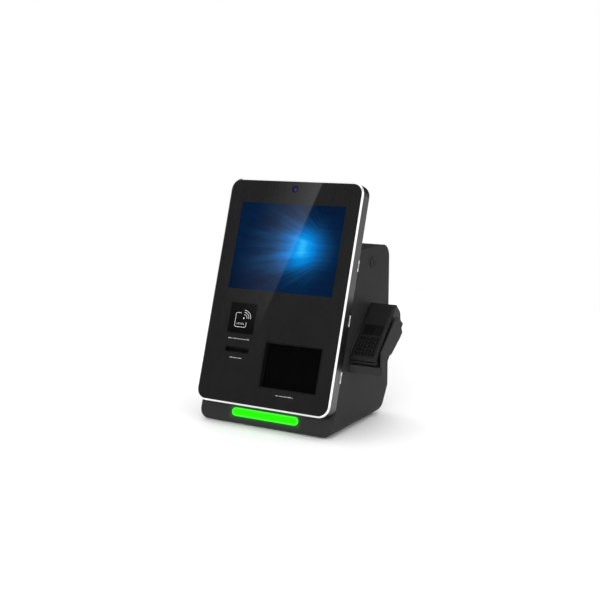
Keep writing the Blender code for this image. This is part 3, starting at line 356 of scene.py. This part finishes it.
def polished_glass(name, colour, matrix=None, smudge=0.05, specular=0.5):
    """Dark printed glass: flat and glossy, with faint wiping marks in its gloss."""
    made, tree, shader = new_material(name, specular=specular)
    at = place(tree, matrix)
    smears = noise(tree, place(tree, matrix, (1.0, 1.0, 0.35)), 32.0, 5.0, 0.6, 0.6)
    dust = noise(tree, at, 1500.0, 1.0)
    marks = remap(tree, smears, 0.52, 0.80, 0.0, smudge)
    marks = maths(tree, "ADD", marks, remap(tree, dust, 0.72, 0.80, 0.0, 0.10))
    base = mix_colour(tree, remap(tree, smears, 0.4, 0.8), shade(colour), shade(colour, 1.25))
    feed(tree, shader, Base_Color=base, Roughness=maths(tree, "ADD", marks, 0.025))
    return made


def moulded_plastic(name, colour, roughness=0.48, scale=1700.0, depth=0.00006, specular=0.4):
    """Injection-moulded plastic with a fine eroded grain."""
    made, tree, shader = new_material(name, specular=specular)
    at = place(tree)
    grain = noise(tree, at, scale, 3.0, 0.6)
    cells = node(tree, "ShaderNodeTexVoronoi", {"Vector": at, "Scale": scale * 0.6}).outputs["Distance"]
    wear = noise(tree, at, 60.0, 4.0)
    base = mix_colour(tree, remap(tree, grain, 0.3, 0.7), shade(colour, 0.85), shade(colour, 1.15))
    base = mix_colour(tree, remap(tree, wear, 0.55, 0.8, 0.0, 0.3), base, shade(colour, 1.5))
    height = maths(tree, "ADD", grain, maths(tree, "MULTIPLY", cells, 0.6))
    feed(
        tree, shader, Base_Color=base, Normal=bump(tree, height, depth, 0.6),
        Roughness=remap(tree, wear, 0.3, 0.7, roughness - 0.05, roughness + 0.06),
    )
    return made


def rubber(name, colour):
    made, tree, shader = new_material(name, specular=0.3)
    at = place(tree)
    grain = noise(tree, at, 2200.0, 2.0)
    dust = remap(tree, noise(tree, at, 220.0, 5.0, 0.7), 0.5, 0.75)
    base = mix_colour(tree, maths(tree, "MULTIPLY", dust, 0.5), shade(colour), shade(colour, 2.2))
    feed(
        tree, shader, Base_Color=base, Normal=bump(tree, grain, 0.00008, 0.6),
        Roughness=remap(tree, dust, 0.0, 1.0, 0.62, 0.80),
    )
    return made


def circuit_board():
    """Green solder mask over copper tracks, with small tinned pads."""
    made, tree, shader = new_material("circuit_board")
    at = place(tree)
    tracks = node(
        tree, "ShaderNodeTexBrick",
        {"Vector": at, "Scale": 190.0, "Mortar Size": 0.035, "Mortar Smooth": 0.1, "Brick Width": 1.7},
        offset=0.37,
    ).outputs["Fac"]
    spots = node(tree, "ShaderNodeTexVoronoi", {"Vector": at, "Scale": 330.0, "Randomness": 0.6})
    pads = remap(tree, spots.outputs["Distance"], 0.22, 0.18)
    base = mix_colour(tree, tracks, (0.008, 0.075, 0.030, 1.0), (0.025, 0.17, 0.07, 1.0))
    base = mix_colour(tree, pads, base, (0.62, 0.60, 0.52, 1.0))
    height = maths(tree, "ADD", tracks, pads)
    feed(
        tree, shader, Base_Color=base, Metallic=maths(tree, "MULTIPLY", pads, 0.9),
        Roughness=remap(tree, pads, 0.0, 1.0, 0.38, 0.25), Normal=bump(tree, height, 0.00008, 0.6),
    )
    return made


def thermal_paper():
    made, tree, shader = new_material("paper", specular=0.2)
    at = place(tree)
    fibres = noise(tree, place(tree, stretch=(0.3, 1.0, 1.0)), 1400.0, 4.0, 0.65)
    winding = noise(tree, at, 240.0, 2.0)
    base = mix_colour(tree, fibres, (0.78, 0.77, 0.73, 1.0), (0.90, 0.89, 0.86, 1.0))
    base = mix_colour(tree, remap(tree, winding, 0.45, 0.7, 0.0, 0.25), base, (0.70, 0.69, 0.65, 1.0))
    feed(
        tree, shader, Base_Color=base, Normal=bump(tree, fibres, 0.00004, 0.5),
        Roughness=remap(tree, fibres, 0.3, 0.7, 0.7, 0.9),
    )
    return made


def white_ink(name, colour):
    """Screen-printed ink, a little uneven."""
    made, tree, shader = new_material(name, specular=0.3)
    uneven = noise(tree, place(tree), 2500.0, 3.0)
    base = mix_colour(tree, uneven, shade(colour, 0.86), shade(colour, 1.0))
    feed(tree, shader, Base_Color=base, Roughness=remap(tree, uneven, 0.3, 0.7, 0.45, 0.6))
    return made


def light_bar():
    """The lit diffuser, with a paler line just inside its edge."""
    made, tree, shader = new_material("green_light", specular=0.10)
    at = node(tree, "ShaderNodeSeparateXYZ", {0: place(tree, PANEL)})
    radius = LIGHT_SIZE[1] / 2
    straight = LIGHT_SIZE[0] / 2 - radius
    along = maths(tree, "SUBTRACT", maths(tree, "ABSOLUTE", at.outputs["X"]), straight)
    along = maths(tree, "MAXIMUM", along, 0.0)
    up = maths(tree, "SUBTRACT", at.outputs["Z"], LIGHT_HEIGHT)
    squares = maths(tree, "ADD", maths(tree, "POWER", along, 2.0), maths(tree, "POWER", up, 2.0))
    inset = maths(tree, "SUBTRACT", radius, maths(tree, "SQRT", squares))
    beside = maths(tree, "ABSOLUTE", maths(tree, "SUBTRACT", inset, LIGHT_LINE_INSET))
    line = remap(tree, beside, 0.0, LIGHT_LINE_FADE, 1.0, 0.0, True)
    grain = noise(tree, place(tree), 900.0, 2.0)
    glow = mix_colour(tree, line, (0.019, 1.0, 0.0, 1.0), (0.150, 1.0, 0.110, 1.0))
    glow = mix_colour(tree, maths(tree, "MULTIPLY", grain, 0.12), glow, (0.010, 0.88, 0.0, 1.0))
    shader.inputs["Base Color"].default_value = (0.001, 0.03, 0.001, 1.0)
    shader.inputs["Emission Strength"].default_value = 1.05
    feed(
        tree, shader, Emission_Color=glow, Roughness=remap(tree, grain, 0.3, 0.7, 0.30, 0.42),
        Normal=bump(tree, grain, 0.00003, 0.4),
    )
    return made


def blob(tree, x, y, centre, size):
    """A soft round spot that is 1 at its centre and fades over its size."""
    across = maths(tree, "DIVIDE", maths(tree, "SUBTRACT", x, centre[0]), size[0])
    up = maths(tree, "DIVIDE", maths(tree, "SUBTRACT", y, centre[1]), size[1])
    reach = maths(tree, "ADD", maths(tree, "MULTIPLY", across, across), maths(tree, "MULTIPLY", up, up))
    return maths(tree, "EXPONENT", maths(tree, "MULTIPLY", reach, -1.0))


def screen_picture():
    """The idle picture: blue light that streams from the right of a navy field."""
    made, tree, shader = new_material("screen_picture")
    at = node(tree, "ShaderNodeSeparateXYZ", {0: place(tree)})
    x = maths(tree, "SUBTRACT", at.outputs["X"], PICTURE_CENTRE[0])
    x = maths(tree, "DIVIDE", x, PICTURE_SIZE[0] / 2)
    y = maths(tree, "SUBTRACT", at.outputs["Z"], PICTURE_CENTRE[1])
    y = maths(tree, "DIVIDE", y, PICTURE_SIZE[1] / 2)
    left = maths(tree, "MAXIMUM", maths(tree, "SUBTRACT", 0.62, x), 0.06)
    slope = maths(tree, "DIVIDE", maths(tree, "ADD", y, 0.02), maths(tree, "ADD", left, 0.35))
    rays = node(tree, "ShaderNodeCombineXYZ", {0: slope, 1: maths(tree, "MULTIPLY", left, 0.12)})
    streaks = remap(tree, noise(tree, rays.outputs[0], 5.0, 3.0, 0.55), 0.34, 0.66, 0.45, 1.15, True)
    wide = blob(tree, x, y, (-0.05, 0.0), (0.72, 0.95))
    glow = blob(tree, x, y, (0.34, 0.02), (0.42, 0.50))
    core = blob(tree, x, y, (0.30, 0.06), (0.17, 0.30))
    level = maths(tree, "MULTIPLY", maths(tree, "MULTIPLY", wide, streaks), 0.26)
    level = maths(tree, "ADD", level, maths(tree, "MULTIPLY", glow, 0.62))
    level = maths(tree, "ADD", level, maths(tree, "MULTIPLY", core, 0.24))
    haze = noise(tree, place(tree), 11.0, 3.0)
    level = maths(tree, "ADD", level, remap(tree, haze, 0.3, 0.7, -0.03, 0.03), clamp=True)
    ramp = node(tree, "ShaderNodeValToRGB", {0: level})
    first, *middle, last = PICTURE_TONES
    for element, (position, colour) in zip(ramp.color_ramp.elements, (first, last)):
        element.position = position
        element.color = (*colour, 1.0)
    for position, colour in middle:
        element = ramp.color_ramp.elements.new(position)
        element.color = (*colour, 1.0)
    shader.inputs["Base Color"].default_value = (0.0003, 0.0004, 0.0006, 1.0)
    shader.inputs["Roughness"].default_value = 0.03
    shader.inputs["Emission Strength"].default_value = 1.0
    feed(tree, shader, Emission_Color=ramp.outputs[0])
    return made


def lens_with_painted_sheen():
    """A camera's front element of dark coated glass, with a painted violet sheen in its colour that grows
    towards the rim where the view grazes it.
    """
    made, tree, shader = new_material("lens_with_painted_sheen", ior=1.6)
    painted_sheen_weight = node(tree, "ShaderNodeLayerWeight", {"Blend": 0.35}).outputs["Facing"]
    rings = noise(tree, place(tree), 260.0, 1.0)
    # Painted sheen: more violet is mixed into the base colour where the view grazes the lens, standing in
    # for the coating's reflection.
    base = mix_colour(tree, painted_sheen_weight, (0.018, 0.011, 0.100, 1.0), (0.040, 0.012, 0.16, 1.0))
    base = mix_colour(tree, maths(tree, "MULTIPLY", rings, 0.3), base, (0.005, 0.005, 0.02, 1.0))
    shader.inputs["Coat Weight"].default_value = 1.0
    shader.inputs["Coat Roughness"].default_value = 0.03
    feed(tree, shader, Base_Color=base, Roughness=remap(tree, rings, 0.3, 0.7, 0.10, 0.2))
    return made


def make_materials():
    return {
        "black_steel": powder_coat("black_steel", (0.0215, 0.0215, 0.0219)),
        "bright_frame": bright_frame(),
        "black_glass": polished_glass("black_glass", (0.0089, 0.0089, 0.0091), PANEL),
        "reader_glass": polished_glass("reader_glass", (0.0022, 0.0022, 0.0023), smudge=0.12),
        "screen_glass": polished_glass("screen_glass", (0.0030, 0.0030, 0.0032), TERMINAL, 0.08, 0.30),
        "window_glass": polished_glass("window_glass", (0.0010, 0.0010, 0.0010), PANEL, 0.08, 0.30),
        "steel": brushed_metal("steel", (0.55, 0.56, 0.57)),
        "hinge_steel": brushed_metal("hinge_steel", (0.80, 0.81, 0.82), (1.0, 1.0, 0.05), 0.22),
        "dark_steel": brushed_metal("dark_steel", (0.016, 0.016, 0.0165), (1.0, 1.0, 1.0), 0.42),
        "black_plastic": moulded_plastic("black_plastic", (0.012, 0.012, 0.0125)),
        "hood_plastic": moulded_plastic("hood_plastic", (0.0040, 0.0040, 0.0042), 0.55, specular=0.2),
        "terminal_plastic": moulded_plastic(
            "terminal_plastic", (0.0072, 0.0072, 0.0074), 0.42, specular=0.22,
        ),
        "key_rubber": moulded_plastic("key_rubber", (0.0022, 0.0022, 0.0023), 0.5, 2600.0, 0.00004, 0.15),
        "green_light": light_bar(),
        "foot_rubber": rubber("foot_rubber", (0.012, 0.012, 0.012)),
        "circuit_board": circuit_board(),
        "board_module": brushed_metal("board_module", (0.40, 0.41, 0.42), (0.04, 1.0, 1.0), 0.38, 1500.0),
        "paper": thermal_paper(),
        "screen_picture": screen_picture(),
        "lens_with_painted_sheen": lens_with_painted_sheen(),
        "white_ink": white_ink("white_ink", (0.58, 0.58, 0.58)),
        "caption_ink": white_ink("caption_ink", (0.30, 0.30, 0.30)),
        "legend_ink": white_ink("legend_ink", (0.045, 0.045, 0.045)),
        "mark_red": white_ink("mark_red", (0.030, 0.004, 0.004)),
        "mark_yellow": white_ink("mark_yellow", (0.030, 0.022, 0.005)),
        "mark_green": white_ink("mark_green", (0.005, 0.028, 0.008)),
    }


# --- Meshes --------------------------------------------------------------------------------------


def arc(centre, radius, start, end, steps):
    """Points from start to end, in degrees, both included."""
    points = []
    for step in range(steps + 1):
        angle = math.radians(start + (end - start) * step / steps)
        points.append((centre[0] + radius * math.cos(angle), centre[1] + radius * math.sin(angle)))
    return points


def rounded_rectangle(centre, width, height, radius, steps):
    w, h = width / 2 - radius, height / 2 - radius
    points = []
    for right, up, start in ((w, h, 0), (-w, h, 90), (-w, -h, 180), (w, -h, 270)):
        points += arc((centre[0] + right, centre[1] + up), radius, start, start + 90, steps)
    return points


def slab(data, outline, front, back):
    """A closed flat prism in the XZ plane, between two depths."""
    near = [data.verts.new((x, front, z)) for x, z in outline]
    far = [data.verts.new((x, back, z)) for x, z in outline]
    data.faces.new(near)
    data.faces.new(list(reversed(far)))
    count = len(outline)
    for i in range(count):
        j = (i + 1) % count
        data.faces.new((near[j], near[i], far[i], far[j]))


def ribbon(data, points, width, front, back):
    """A stroke of constant width along points, as one closed slab."""
    left, right = [], []
    for i, point in enumerate(points):
        before = Vector(points[max(i - 1, 0)])
        after = Vector(points[min(i + 1, len(points) - 1)])
        run = (after - before).normalized()
        side = Vector((-run.y, run.x)) * (width / 2)
        left.append(tuple(Vector(point) + side))
        right.append(tuple(Vector(point) - side))
    slab(data, left + list(reversed(right)), front, back)


def lathe(data, profile, centre, steps=48):
    """Rings of (radius, depth) about an axis along Y. A radius of 0 closes the end with a point."""
    rings = []
    for radius, depth in profile:
        if radius == 0.0:
            rings.append([data.verts.new((centre[0], depth, centre[1]))])
        else:
            rings.append([data.verts.new((x, depth, z)) for x, z in arc(centre, radius, 0, 360, steps)[:-1]])
    for first, second in zip(rings, rings[1:]):
        for i in range(steps):
            j = (i + 1) % steps
            corners = [first[i % len(first)], first[j % len(first)]]
            corners += [second[j % len(second)], second[i % len(second)]]
            data.faces.new(list(dict.fromkeys(corners)))


def piece(name, data, look, body, matrix=PANEL, smooth=False):
    """Turns mesh data into a piece that stands in the frame of matrix and rides on a body."""
    bmesh.ops.recalc_face_normals(data, faces=data.faces)
    mesh = bpy.data.meshes.new(name)
    data.to_mesh(mesh)
    data.free()
    if smooth:
        mesh.shade_smooth()
        mesh.set_sharp_from_angle(angle=math.radians(35))
    mesh.materials.append(look)
    obj = bpy.data.objects.new(name, mesh)
    bpy.context.scene.collection.objects.link(obj)
    obj.matrix_world = matrix
    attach(obj, body)
    return obj


# --- Door ----------------------------------------------------------------------------------------


def make_screen(looks):
    data = bmesh.new()
    outline = rounded_rectangle(PICTURE_CENTRE, *PICTURE_SIZE, PICTURE_CORNER, 2)
    slab(data, outline, -PRINT_THICKNESS * 2, -PRINT_THICKNESS)
    piece("screen_picture", data, looks["screen_picture"], "front_door")


def make_reader_field(looks):
    """The contactless reader's square: a darker field with a card and its radio waves on it."""
    data = bmesh.new()
    outline = rounded_rectangle(READER_CENTRE, READER_SIZE, READER_SIZE, READER_CORNER, 3)
    slab(data, outline, -PRINT_THICKNESS * 2, -PRINT_THICKNESS)
    piece("reader_field", data, looks["reader_glass"], "front_door")

    data = bmesh.new()
    front, back = -PRINT_THICKNESS * 4, -PRINT_THICKNESS * 3
    left, right = ICON_LEFT + ICON_CORNER, ICON_RIGHT - ICON_CORNER
    low, high = ICON_LOW + ICON_CORNER, ICON_HIGH - ICON_CORNER
    card = [(ICON_TOP_END, ICON_HIGH)] + arc((left, high), ICON_CORNER, 90, 180, 4)
    card += arc((left, low), ICON_CORNER, 180, 270, 4)
    card += arc((right, low), ICON_CORNER, 270, 360, 4) + [(ICON_RIGHT, ICON_RIGHT_END)]
    ribbon(data, card, ICON_LINE, front, back)
    for number in range(ICON_BARS):
        x = ICON_LEFT + ICON_BAR_START + ICON_BAR_PITCH * number
        top = ICON_LOW + ICON_BAR_TOPS[number % 2]
        ribbon(data, [(x, ICON_LOW + ICON_BAR_LOW), (x, top)], ICON_LINE, front, back)
    for radius in WAVE_RADII:
        ribbon(data, arc(WAVE_SOURCE, radius, -2, 92, 12), ICON_LINE, front, back)
    slab(data, arc(WAVE_SOURCE, WAVE_DOT, 0, 360, 16)[:-1], front, back)
    piece("reader_icon", data, looks["white_ink"], "front_door")


def make_captions(looks):
    """Rows of small blocks in place of the printed words."""
    dice = random.Random(5)
    for name, (start, end), height in CAPTIONS:
        data = bmesh.new()
        x = start
        while x < end - LAST_WORD_ROOM:
            for _ in range(dice.choice(WORD_LENGTHS)):
                width = dice.uniform(*LETTER_WIDTHS)
                tall = dice.choice(LETTER_HEIGHTS)
                if x + width > end:
                    break
                low = height - LETTER_DROP
                outline = [(x, low), (x + width, low), (x + width, low + tall), (x, low + tall)]
                slab(data, outline, -PRINT_THICKNESS * 2, -PRINT_THICKNESS)
                x += width + LETTER_GAP
            x += WORD_GAP
        piece(name, data, looks["caption_ink"], "front_door")


def make_camera_lens(looks):
    """The camera's ring with its stepped barrel, and its domed front element."""
    data = bmesh.new()
    lathe(data, CAMERA_PROFILE, CAMERA_CENTRE)
    ring = piece("camera_ring", data, looks["hood_plastic"], "front_door", smooth=True)
    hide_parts("camera_lens")

    data = bmesh.new()
    dome = [(0.0, DOME_BACK), (DOME_RADIUS, DOME_BACK), (DOME_RADIUS, DOME_RIM)]
    for step in range(1, DOME_STEPS):
        angle = step * math.pi / 2 / DOME_STEPS
        dome.append((DOME_RADIUS * math.cos(angle), DOME_RIM - DOME_RISE * math.sin(angle)))
    dome.append((0.0, DOME_RIM - DOME_RISE))
    lathe(data, dome, CAMERA_CENTRE)
    piece("camera_dome", data, looks["lens_with_painted_sheen"], "front_door", smooth=True)


# --- Payment terminal ----------------------------------------------------------------------------


def make_key_legends(looks):
    """Numbers and signs on the terminal's keys, each moulded on its own key."""
    for key, sign in KEY_LEGENDS.items():
        low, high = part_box(f"key_{key}")
        centre = TERMINAL.inverted() @ ((low + high) / 2)
        text = bpy.data.curves.new("legend", "FONT")
        text.body = sign
        text.size = LEGEND_SIZE
        text.extrude = LEGEND_RELIEF
        text.align_x = "CENTER"
        text.align_y = "CENTER"
        text.resolution_u = 3
        writer = bpy.data.objects.new("legend", text)
        bpy.context.scene.collection.objects.link(writer)
        bpy.context.view_layer.update()
        evaluated = writer.evaluated_get(bpy.context.evaluated_depsgraph_get())
        mesh = bpy.data.meshes.new_from_object(evaluated)
        bpy.data.objects.remove(writer)
        mesh.transform(Matrix.Rotation(math.radians(90), 4, "X"))
        mesh.transform(Matrix.Translation((centre.x, LEGEND_DEPTH, centre.z)))
        data = bmesh.new()
        data.from_mesh(mesh)
        bmesh.ops.remove_doubles(data, verts=data.verts, dist=1e-6)
        look = looks[KEY_MARKS.get(key, "legend_ink")]
        piece(f"legend_{key}", data, look, f"button_{key}", TERMINAL)


# --- CAD nodes -----------------------------------------------------------------------------------

NODE_LOOKS = {
    "black_steel": ("body_shell", "rear_cover", "terminal_cradle", "door_back_pan", "lock_barrel"),
    "bright_frame": ("bezel_frame",),
    "black_glass": ("front_glass",),
    "screen_glass": ("terminal_window",),
    "window_glass": ("scan_glass",),
    "hinge_steel": ("hinge_leaf_door_1", "hinge_leaf_door_2", "hinge_leaf_door_3"),
    "steel": (
        "hinge_leaf_body_1", "hinge_leaf_body_2", "hinge_leaf_body_3", "latch_bush", "latch_cam",
        "rear_hinge_rod", "door_keeper", "power_supply",
    ),
    "dark_steel": ("lock_cam",),
    "black_plastic": (
        "power_inlet", "rocker_switch", "speaker", "card_reader", "fan_frame", "fan_rotor", "display_panel",
    ),
    "hood_plastic": ("scan_bay", "card_bezel"),
    "terminal_plastic": ("terminal_case", "terminal_cover", "printer_lid"),
    "green_light": ("led_diffuser",),
    "foot_rubber": ("foot_1", "foot_2", "foot_3", "foot_4"),
    "circuit_board": ("led_strip", "camera_board", "nfc_board", "scan_camera"),
    "board_module": ("computer_box",),
    "paper": ("paper_roll",),
}
SOFT_EDGES = {
    "body_shell": 0.0006, "rear_cover": 0.0005, "terminal_cradle": 0.0007, "terminal_case": 0.0006,
    "terminal_cover": 0.0009, "printer_lid": 0.0011, "power_inlet": 0.0004, "rocker_switch": 0.0004,
    "card_bezel": 0.0002, "computer_box": 0.0005, "power_supply": 0.0006, "fan_frame": 0.0004,
    "bezel_frame": 0.00015, "door_keeper": 0.0003, "card_reader": 0.0005, "lock_barrel": 0.0003,
}
KEY_SOFT_EDGE = 0.0003


def soften(obj, width):
    """Narrow rounded edges, after joining the doubled points along the imported mesh's sharp edges."""
    weld = obj.modifiers.new("weld", "WELD")
    weld.merge_threshold = 0.000005
    bevel = obj.modifiers.new("soft edges", "BEVEL")
    bevel.width = width
    bevel.segments = 2
    bevel.limit_method = "ANGLE"
    bevel.angle_limit = math.radians(38)
    bevel.use_clamp_overlap = True
    bevel.harden_normals = False


def dress_cad_nodes(looks):
    for look, names in NODE_LOOKS.items():
        for name in names:
            obj = frame["nodes"][name]
            obj.data.materials.clear()
            obj.data.materials.append(looks[look])
    for name, obj in frame["nodes"].items():
        if name.startswith("key_"):
            obj.data.materials.clear()
            obj.data.materials.append(looks["key_rubber"])
            soften(obj, KEY_SOFT_EDGE)
    for name, width in SOFT_EDGES.items():
        soften(frame["nodes"][name], width)


# --- Studio --------------------------------------------------------------------------------------


def make_camera():
    data = bpy.data.cameras.new("camera")
    data.lens = CAMERA_LENS
    camera = bpy.data.objects.new("camera", data)
    bpy.context.scene.collection.objects.link(camera)
    camera.location = CAMERA_POSITION
    camera.rotation_euler = (math.pi / 2 + CAMERA_PITCH, 0.0, CAMERA_YAW)
    bpy.context.scene.camera = camera


def make_floor():
    """A pale disc that fades out into the white surroundings."""
    data = bmesh.new()
    rim = arc((0.0, 0.0), FLOOR_OUTER, 0, 360, FLOOR_STEPS)[:-1]
    data.faces.new([data.verts.new((x, y, 0.0)) for x, y in rim])
    mesh = bpy.data.meshes.new("floor")
    data.to_mesh(mesh)
    data.free()
    floor = bpy.data.objects.new("floor", mesh)
    bpy.context.scene.collection.objects.link(floor)
    made, tree, shader = new_material("floor", specular=0.2)
    at = place(tree)
    uneven = noise(tree, at, 6.0, 2.0)
    base = mix_colour(tree, uneven, (0.86, 0.86, 0.86, 1.0), (0.88, 0.88, 0.88, 1.0))
    feed(tree, shader, Base_Color=base)
    shader.inputs["Roughness"].default_value = 0.7
    reach = node(tree, "ShaderNodeVectorMath", {0: at}, operation="LENGTH").outputs["Value"]
    feed(tree, shader, Alpha=remap(tree, reach, FLOOR_INNER, FLOOR_OUTER, 1.0, 0.0, True))
    mesh.materials.append(made)


def make_world():
    """White to the camera. As light, a dim room with a bright right side, ceiling and floor.

    Glossy rays find the left front dark, so that the glass mirrors little but the softbox card.
    """
    world = bpy.data.worlds.new("studio")
    bpy.context.scene.world = world
    world.use_nodes = True
    tree = world.node_tree
    tree.nodes.clear()
    path = node(tree, "ShaderNodeLightPath")
    direction = node(tree, "ShaderNodeTexCoord").outputs["Generated"]
    x, y, z = node(tree, "ShaderNodeSeparateXYZ", {0: direction}).outputs

    raised = fade(tree, z, -0.05, 0.05)
    right = product(tree, fade(tree, x, 0.55, 0.80), fade(tree, y, 0.35, -0.05), raised)
    zenith = product(tree, fade(tree, z, 0.82, 0.90), fade(tree, x, -0.05, 0.15))
    ceiling = product(tree, fade(tree, z, 0.62, 0.70), fade(tree, y, 0.05, 0.25))
    above = maths(tree, "MAXIMUM", zenith, ceiling)
    back = product(tree, fade(tree, y, 0.30, 0.60), raised, BACK_LOSS)
    strength = product(tree, maths(tree, "MAXIMUM", right, above), SIDE_LIGHT)
    strength = maths(tree, "ADD", strength, maths(tree, "SUBTRACT", ROOM_LIGHT, back))
    below = fade(tree, z, 0.0, -0.04)
    strength = maths(tree, "ADD", strength, maths(tree, "MULTIPLY", below, FLOOR_LIGHT))

    left_front = product(tree, fade(tree, y, -0.45, -0.60), fade(tree, x, 0.25, 0.0))
    mirrored_there = product(tree, left_front, path.outputs["Is Glossy Ray"], MIRROR_LOSS)
    strength = maths(tree, "MULTIPLY", strength, maths(tree, "SUBTRACT", 1.0, mirrored_there))
    lit = node(tree, "ShaderNodeBackground", {"Color": (1.0, 1.0, 1.0, 1.0), "Strength": strength})
    seen = node(tree, "ShaderNodeBackground", {"Color": (1.0, 1.0, 1.0, 1.0), "Strength": 1.0})
    from_camera = path.outputs["Is Camera Ray"]
    mixed = node(tree, "ShaderNodeMixShader", {0: from_camera, 1: lit.outputs[0], 2: seen.outputs[0]})
    output = node(tree, "ShaderNodeOutputWorld")
    tree.links.new(mixed.outputs[0], output.inputs["Surface"])


def make_sun(name, energy, angle, elevation, azimuth):
    """A broad soft light that no surface mirrors."""
    data = bpy.data.lights.new(name, "SUN")
    data.energy = energy
    data.angle = math.radians(angle)
    sun = bpy.data.objects.new(name, data)
    bpy.context.scene.collection.objects.link(sun)
    sun.rotation_euler = (math.radians(elevation - 90), 0.0, math.radians(-azimuth))
    sun.visible_glossy = False


def make_light_bar_glow():
    """The green halo that the status light throws on the base around it."""
    data = bpy.data.lights.new("light_bar_glow", "AREA")
    data.energy = LIGHT_GLOW_ENERGY
    data.color = (0.05, 1.0, 0.02)
    data.shape = "RECTANGLE"
    data.size = LIGHT_SIZE[0] * LIGHT_GLOW_STRETCH[0]
    data.size_y = LIGHT_SIZE[1] * LIGHT_GLOW_STRETCH[1]
    light = bpy.data.objects.new("light_bar_glow", data)
    bpy.context.scene.collection.objects.link(light)
    light.location = PANEL @ Vector((0.0, LIGHT_GLOW_DEPTH, LIGHT_HEIGHT))
    aim = PANEL @ Vector((0.0, LIGHT_GLOW_AIM, LIGHT_HEIGHT)) - light.location
    light.rotation_euler = aim.to_track_quat("-Z", "Y").to_euler()
    light.visible_camera = False
    light.visible_glossy = False


def mirrored(u, v, distance):
    """The point that the camera sees in the glass at (u, v), on a plane this far out from the glass."""
    camera = PANEL.inverted() @ CAMERA_POSITION
    grow = (distance - camera.y) / -camera.y
    return PANEL @ Vector((camera.x + (u - camera.x) * grow, -distance, camera.z + (v - camera.z) * grow))


def make_reflection_card():
    """A softbox that the glass mirrors: brightest along its slanting right edge and at its top."""
    top_left = (CARD_TOP[0] - CARD_WIDTH, CARD_TOP[1])
    bottom_left = (CARD_BOTTOM[0] - CARD_WIDTH, CARD_BOTTOM[1])
    corners = (bottom_left, CARD_BOTTOM, CARD_TOP, top_left)
    data = bmesh.new()
    layer = data.loops.layers.uv.new("card")
    face = data.faces.new([data.verts.new(mirrored(u, v, CARD_DISTANCE)) for u, v in corners])
    for loop, spot in zip(face.loops, ((0, 0), (1, 0), (1, 1), (0, 1))):
        loop[layer].uv = spot
    mesh = bpy.data.meshes.new("softbox_card")
    data.to_mesh(mesh)
    data.free()
    card = bpy.data.objects.new("softbox_card", mesh)
    bpy.context.scene.collection.objects.link(card)
    made = bpy.data.materials.new("softbox_card")
    made.use_nodes = True
    tree = made.node_tree
    tree.nodes.clear()
    sides = node(tree, "ShaderNodeSeparateXYZ", {0: node(tree, "ShaderNodeUVMap", uv_map="card").outputs[0]})
    across = maths(tree, "POWER", sides.outputs["X"], 1.5)
    upward = maths(tree, "POWER", sides.outputs["Y"], 0.9)
    strength = product(tree, across, upward, CARD_STRENGTH)
    emission = node(tree, "ShaderNodeEmission", {"Color": (1.0, 0.99, 0.97, 1.0), "Strength": strength})
    clear = node(tree, "ShaderNodeBsdfTransparent")
    both = node(tree, "ShaderNodeAddShader", {0: emission.outputs[0], 1: clear.outputs[0]})
    output = node(tree, "ShaderNodeOutputMaterial")
    tree.links.new(both.outputs[0], output.inputs["Surface"])
    mesh.materials.append(made)
    card.visible_camera = False
    card.visible_diffuse = False
    card.visible_shadow = False


def make_studio():
    make_world()
    make_floor()
    make_camera()
    for settings in SUNS:
        make_sun(*settings)
    make_light_bar_glow()
    make_reflection_card()
    bpy.context.scene.view_settings.view_transform = "Standard"


# --- Everything ----------------------------------------------------------------------------------

materials = make_materials()
dress_cad_nodes(materials)
make_screen(materials)
make_reader_field(materials)
make_captions(materials)
make_camera_lens(materials)
make_key_legends(materials)
make_studio()
